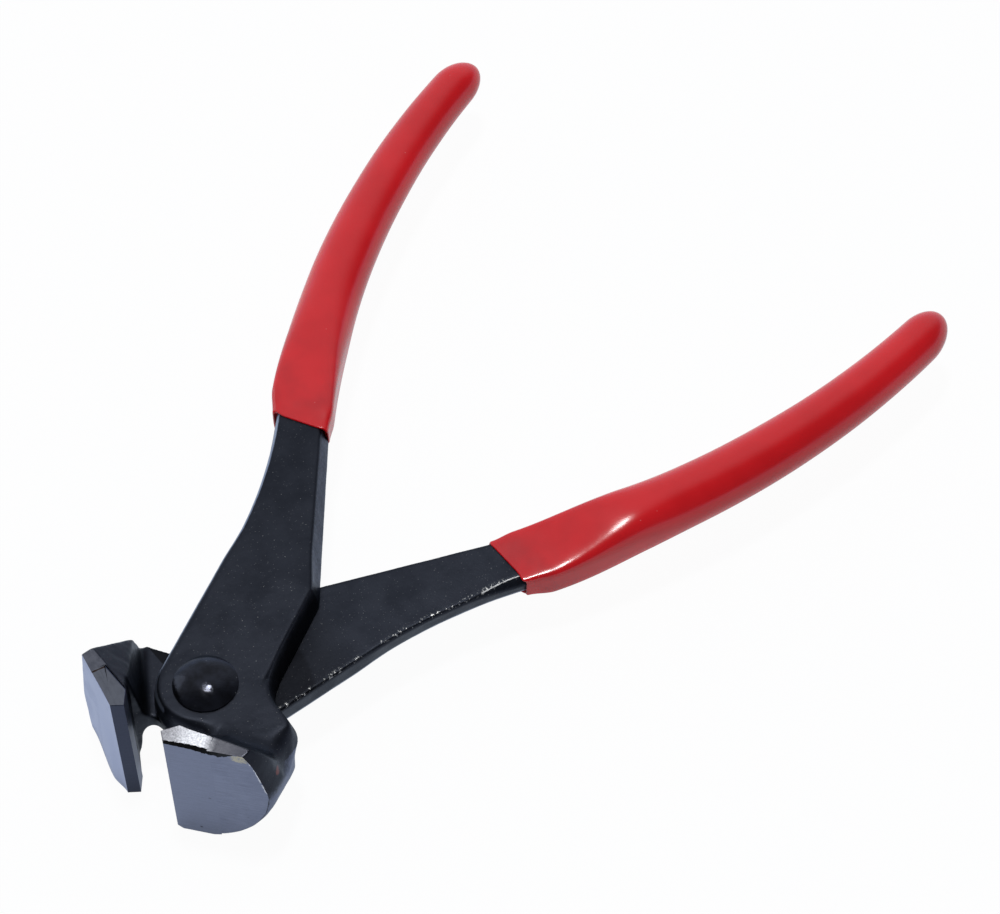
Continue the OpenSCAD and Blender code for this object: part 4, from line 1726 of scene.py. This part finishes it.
    def build(self, side: Side, placement: Placement, finish: bpy.types.Material) -> bpy.types.Object:
        """Skins the sections, makes the vinyl a little uneven past the cuff, and places the grip.

        Args:
            side: which half.
            placement: carries it into the frame.
            finish: its material.

        Returns:
            The dressed piece, riding on its body.
        """
        points, faces = skin(self.rings())
        y = points[:, 1].copy()
        seed = 11 if side is Side.UPPER else 12
        uneven = self.past_cuff(y, self.uneven_run) * ripple(points, self.wave_length, seed)
        middle = np.stack([self.middle_x(y), y, 0 * y], axis=1)
        points += (points - middle) * (self.unevenness * uneven - self.shrink)[:, None] * [1, 0, 1]
        piece = add_piece(f"dipped_{side.value}_grip", placement.place(points, side), faces, Shading.SMOOTH)
        # Share of the soiling and painted shade, 1 at the cuff.
        store(piece, "grime_and_shade_share", 1.0 - rise(y, (self.cuff_reach, self.cuff_reach + self.grime_and_shade_length)))
        piece.data.materials.append(finish)
        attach(piece, side.value)
        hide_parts(f"{side.value}_grip")
        return piece


@dataclass
class Studio:
    """Camera, pale floor and soft light. Offsets are from the rivet, in metres.

    tent_span and horizon_span give how far a direction points to the tent, or up, where each light's share is
    none and where it is full.
    """

    placement: Placement
    camera_offset: tuple[float, float, float] = (0.2321, -0.2098, 0.4869)
    azimuth: float = 36.775
    elevation: float = 52.732
    lens: float = 99.88
    sensor: float = 36.0
    floor_size: float = 6.0
    floor_colour: Colour = (0.84, 0.86, 0.93)
    floor_glow: float = 0.96
    floor_gloss: float = 0.50
    dim: Colour = (0.13, 0.14, 0.165)
    tent: Colour = (0.71, 0.74, 0.81)
    tent_side: tuple[float, float, float] = (-0.73, 0.53, 0.43)
    tent_span: Span = (0.30, 0.80)
    horizon: Colour = (0.75, 0.85, 1.12)
    horizon_span: Span = (0.25, 0.02)

    def camera(self) -> None:
        """Places the camera at the photograph's angle."""
        data = bpy.data.cameras.new("view")
        data.lens, data.sensor_width = self.lens, self.sensor
        camera = bpy.data.objects.new("view", data)
        turn, lift = math.radians(self.azimuth), math.radians(self.elevation)
        level = math.cos(lift)
        back = Vector((math.sin(turn) * level, -math.cos(turn) * level, math.sin(lift)))
        camera.rotation_mode = "QUATERNION"
        camera.rotation_quaternion = (-back).to_track_quat("-Z", "Y")
        camera.location = Vector(self.placement.pivot) + Vector(self.camera_offset)
        bpy.context.scene.collection.objects.link(camera)
        bpy.context.scene.camera = camera

    def floor(self) -> None:
        """Lays a floor that looks white to the camera, and partly in reflections, and keeps a soft shadow."""
        half = self.floor_size / 2
        corners = np.array([[-half, -half, 0], [half, -half, 0], [half, half, 0], [-half, half, 0]])
        floor = add_piece("floor", corners, [[0, 1, 2, 3]], Shading.SMOOTH)
        material = bpy.data.materials.new("white_floor")
        material.use_nodes = True
        nodes = Nodes(material.node_tree)
        nodes.tree.nodes.clear()
        path = nodes.node("ShaderNodeLightPath").outputs
        gloss = nodes.math("MULTIPLY", path["Is Glossy Ray"], self.floor_gloss)
        share = nodes.math("MULTIPLY_ADD", path["Is Camera Ray"], self.floor_glow, gloss)
        diffuse = nodes.node("ShaderNodeBsdfDiffuse", {"Color": self.floor_colour}).outputs["BSDF"]
        glow = nodes.node("ShaderNodeEmission", {"Color": (1.0, 1.0, 1.0)}).outputs["Emission"]
        blend = nodes.node("ShaderNodeMixShader", {"Fac": share, 1: diffuse, 2: glow}).outputs["Shader"]
        nodes.node("ShaderNodeOutputMaterial", {"Surface": blend})
        floor.data.materials.append(material)

    def sky(self) -> None:
        """Sets the world's soft light: a broad bright tent at the back left, and a bright horizon."""
        world = bpy.data.worlds.new("soft_world")
        world.use_nodes = True
        nodes = Nodes(world.node_tree)
        direction = nodes.node("ShaderNodeTexCoord").outputs["Generated"]
        colour = self.dim
        up = (0.0, 0.0, 1.0)
        lights = ((self.tent_side, self.tent_span, self.tent), (up, self.horizon_span, self.horizon))
        for axis, (low, high), light in lights:
            facing = nodes.node("ShaderNodeVectorMath", {0: direction, 1: axis}, operation="DOT_PRODUCT")
            colour = nodes.blend(nodes.span(facing.outputs["Value"], low, high), colour, light)
        nodes.feed(nodes.tree.nodes["Background"].inputs["Color"], colour)
        bpy.context.scene.world = world

    def lamp(self, name: str, offset: tuple[float, float, float], size: float, power: float,
             colour: Colour = (1.0, 1.0, 1.0)) -> None:
        """Hangs a square soft lamp that faces the rivet.

        Args:
            name: the lamp's name.
            offset: its place from the rivet, in metres.
            size: length of its side, in metres.
            power: its power in watts.
            colour: its light.
        """
        data = bpy.data.lights.new(name, "AREA")
        data.size, data.energy, data.color = size, power, colour
        lamp = bpy.data.objects.new(name, data)
        lamp.location = Vector(self.placement.pivot) + Vector(offset)
        lamp.rotation_mode = "QUATERNION"
        lamp.rotation_quaternion = (-Vector(offset)).to_track_quat("-Z", "Y")
        bpy.context.scene.collection.objects.link(lamp)

    def light(self) -> None:
        """Sets the sky and two lamps: a small one overhead and a broad one from the left."""
        self.sky()
        self.lamp("overhead", offset=(-0.08, 0.10, 1.15), size=0.13, power=6.5)
        self.lamp("left", offset=(-1.25, -0.15, 0.45), size=0.7, power=1.5, colour=(0.86, 0.92, 1.0))
        bpy.context.scene.view_settings.view_transform = "Standard"


@dataclass
class Half:
    """One half of the pliers with its cutting tip and grip.

    The tip's far land is ground across the face: across gives its lines' features per metre.
    """

    side: Side
    nose: Nose
    cheek: Cheek
    bar_swell: float
    face: GroundSteel
    across: tuple[float, float, float] = (380.0, 0.0, 1300.0)

    def tip_finishes(self) -> dict[Facet, bpy.types.Material]:
        """Materials of the cutting tip, one for each kind of face.

        Returns:
            Materials by kind.
        """
        name = self.side.value
        bevel = GroundSteel((0.026, 0.031, 0.054), (0.038, 0.045, 0.075), 0.36)
        inner = GroundSteel((0.09, 0.10, 0.14), (0.17, 0.19, 0.26), 0.40)
        dull = GroundSteel((0.055, 0.059, 0.072), (0.092, 0.099, 0.118), 0.46, self.across, 0.08,
                           BlackOxide.seam)
        # Painted shade: the chip's faces are near black.
        chip = GroundSteel((0.006, 0.006, 0.006), (0.014, 0.013, 0.012), 0.7)
        return {
            Facet.FACE: self.face.material(f"brushed_face_{name}"),
            Facet.BEVEL: bevel.material(f"bevel_{name}"),
            Facet.INNER: inner.material(f"inner_bevel_{name}"),
            Facet.LAND: LandSteel().material(f"highlighted_land_{name}"),
            Facet.FAR_LAND: dull.material(f"dull_land_{name}"),
            Facet.CHIP: chip.material(f"chip_{name}"),
        }

    def build(self, placement: Placement, vinyl: bpy.types.Material) -> list[bpy.types.Object]:
        """Builds and dresses the half's three pieces.

        Args:
            placement: carries them into the frame.
            vinyl: the grip's material.

        Returns:
            Forging, cutting tip and grip.
        """
        finishes = self.tip_finishes()
        forged = BlackOxide(self.face).material(f"black_oxide_{self.side.value}")
        forging = Forging(self.nose, self.cheek, self.bar_swell)
        return [
            forging.build(self.side, placement, forged),
            CuttingTip(self.nose, self.cheek).build(self.side, placement, finishes),
            DippedGrip().build(self.side, placement, vinyl),
        ]


def both_halves(half_edge: float) -> list[Half]:
    """The two halves, whose jaws were ground by hand and differ.

    Args:
        half_edge: half the length of the cutting edges, in millimetres.

    Returns:
        The upper half, with a chipped face and a round cheek, and the lower one, with a sloped cheek.
    """
    round_cheek = Cheek(FarEnd.ROUND, ridge_reach=20.7, ridge_height=3.3, ridge_round=0.3, own_lean=0.24,
                        own_flare=0.22, own_curl=0.035, corner_radius=1.0, back_along=18.4, back_behind=14.4,
                        back_radius=4.3)
    sloped_cheek = Cheek(FarEnd.SLOPED, ridge_reach=20.3, ridge_height=9.5, ridge_round=2.5, own_lean=0.23,
                         own_flare=0.0, own_curl=0.0, corner_radius=3.0, back_along=17.2, back_behind=11.1,
                         back_radius=6.0)
    chipped_nose = Nose(half_edge, land_tilt=6.0, chipped=1.0, bulge=0.0)
    convex_nose = Nose(half_edge, land_tilt=0.0, chipped=0.0, bulge=1.0)
    # Painted light and shade: the two ground front faces are one finish, painted darker on the upper jaw and
    # lighter on the lower, both tinted blue like the light they reflect.
    shaded_upper_face = GroundSteel((0.138, 0.158, 0.224), (0.234, 0.267, 0.370), 0.42)
    lit_lower_face = GroundSteel((0.305, 0.342, 0.465), (0.42, 0.467, 0.62), 0.42)
    return [
        Half(Side.UPPER, chipped_nose, round_cheek, bar_swell=0.6, face=shaded_upper_face),
        Half(Side.LOWER, convex_nose, sloped_cheek, bar_swell=0.0, face=lit_lower_face),
    ]


def corners(box: tuple[Vector, Vector]) -> list[list[float]]:
    """A box as plain lists of numbers."""
    return [list(corner) for corner in box]


def main() -> None:
    """Builds the pieces in order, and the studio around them."""
    logging.basicConfig(level=logging.INFO, format="%(name)s: %(message)s")
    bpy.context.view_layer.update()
    placement = Placement.from_frame()
    studio = Studio(placement)
    studio.camera()
    studio.floor()
    studio.light()

    tip_low, tip_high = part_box("upper_cutting_tip")
    halves = both_halves((tip_high.z - tip_low.z) / 2 / MM)
    vinyl = DippedVinyl().material("red_vinyl")
    pieces = [piece for half in halves for piece in half.build(placement, vinyl)]
    rivet_low, rivet_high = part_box("pivot_rivet")
    rivet = PivotRivet((rivet_high.x - rivet_low.x) / 2 / MM, (rivet_high.z - rivet_low.z) / 2 / MM)
    pieces.append(rivet.build(placement, RivetSteel().material("rivet_steel")))
    for piece in pieces:
        log.info("%s: %d faces", piece.name, len(piece.data.polygons))


if __name__ == "__main__":
    main()
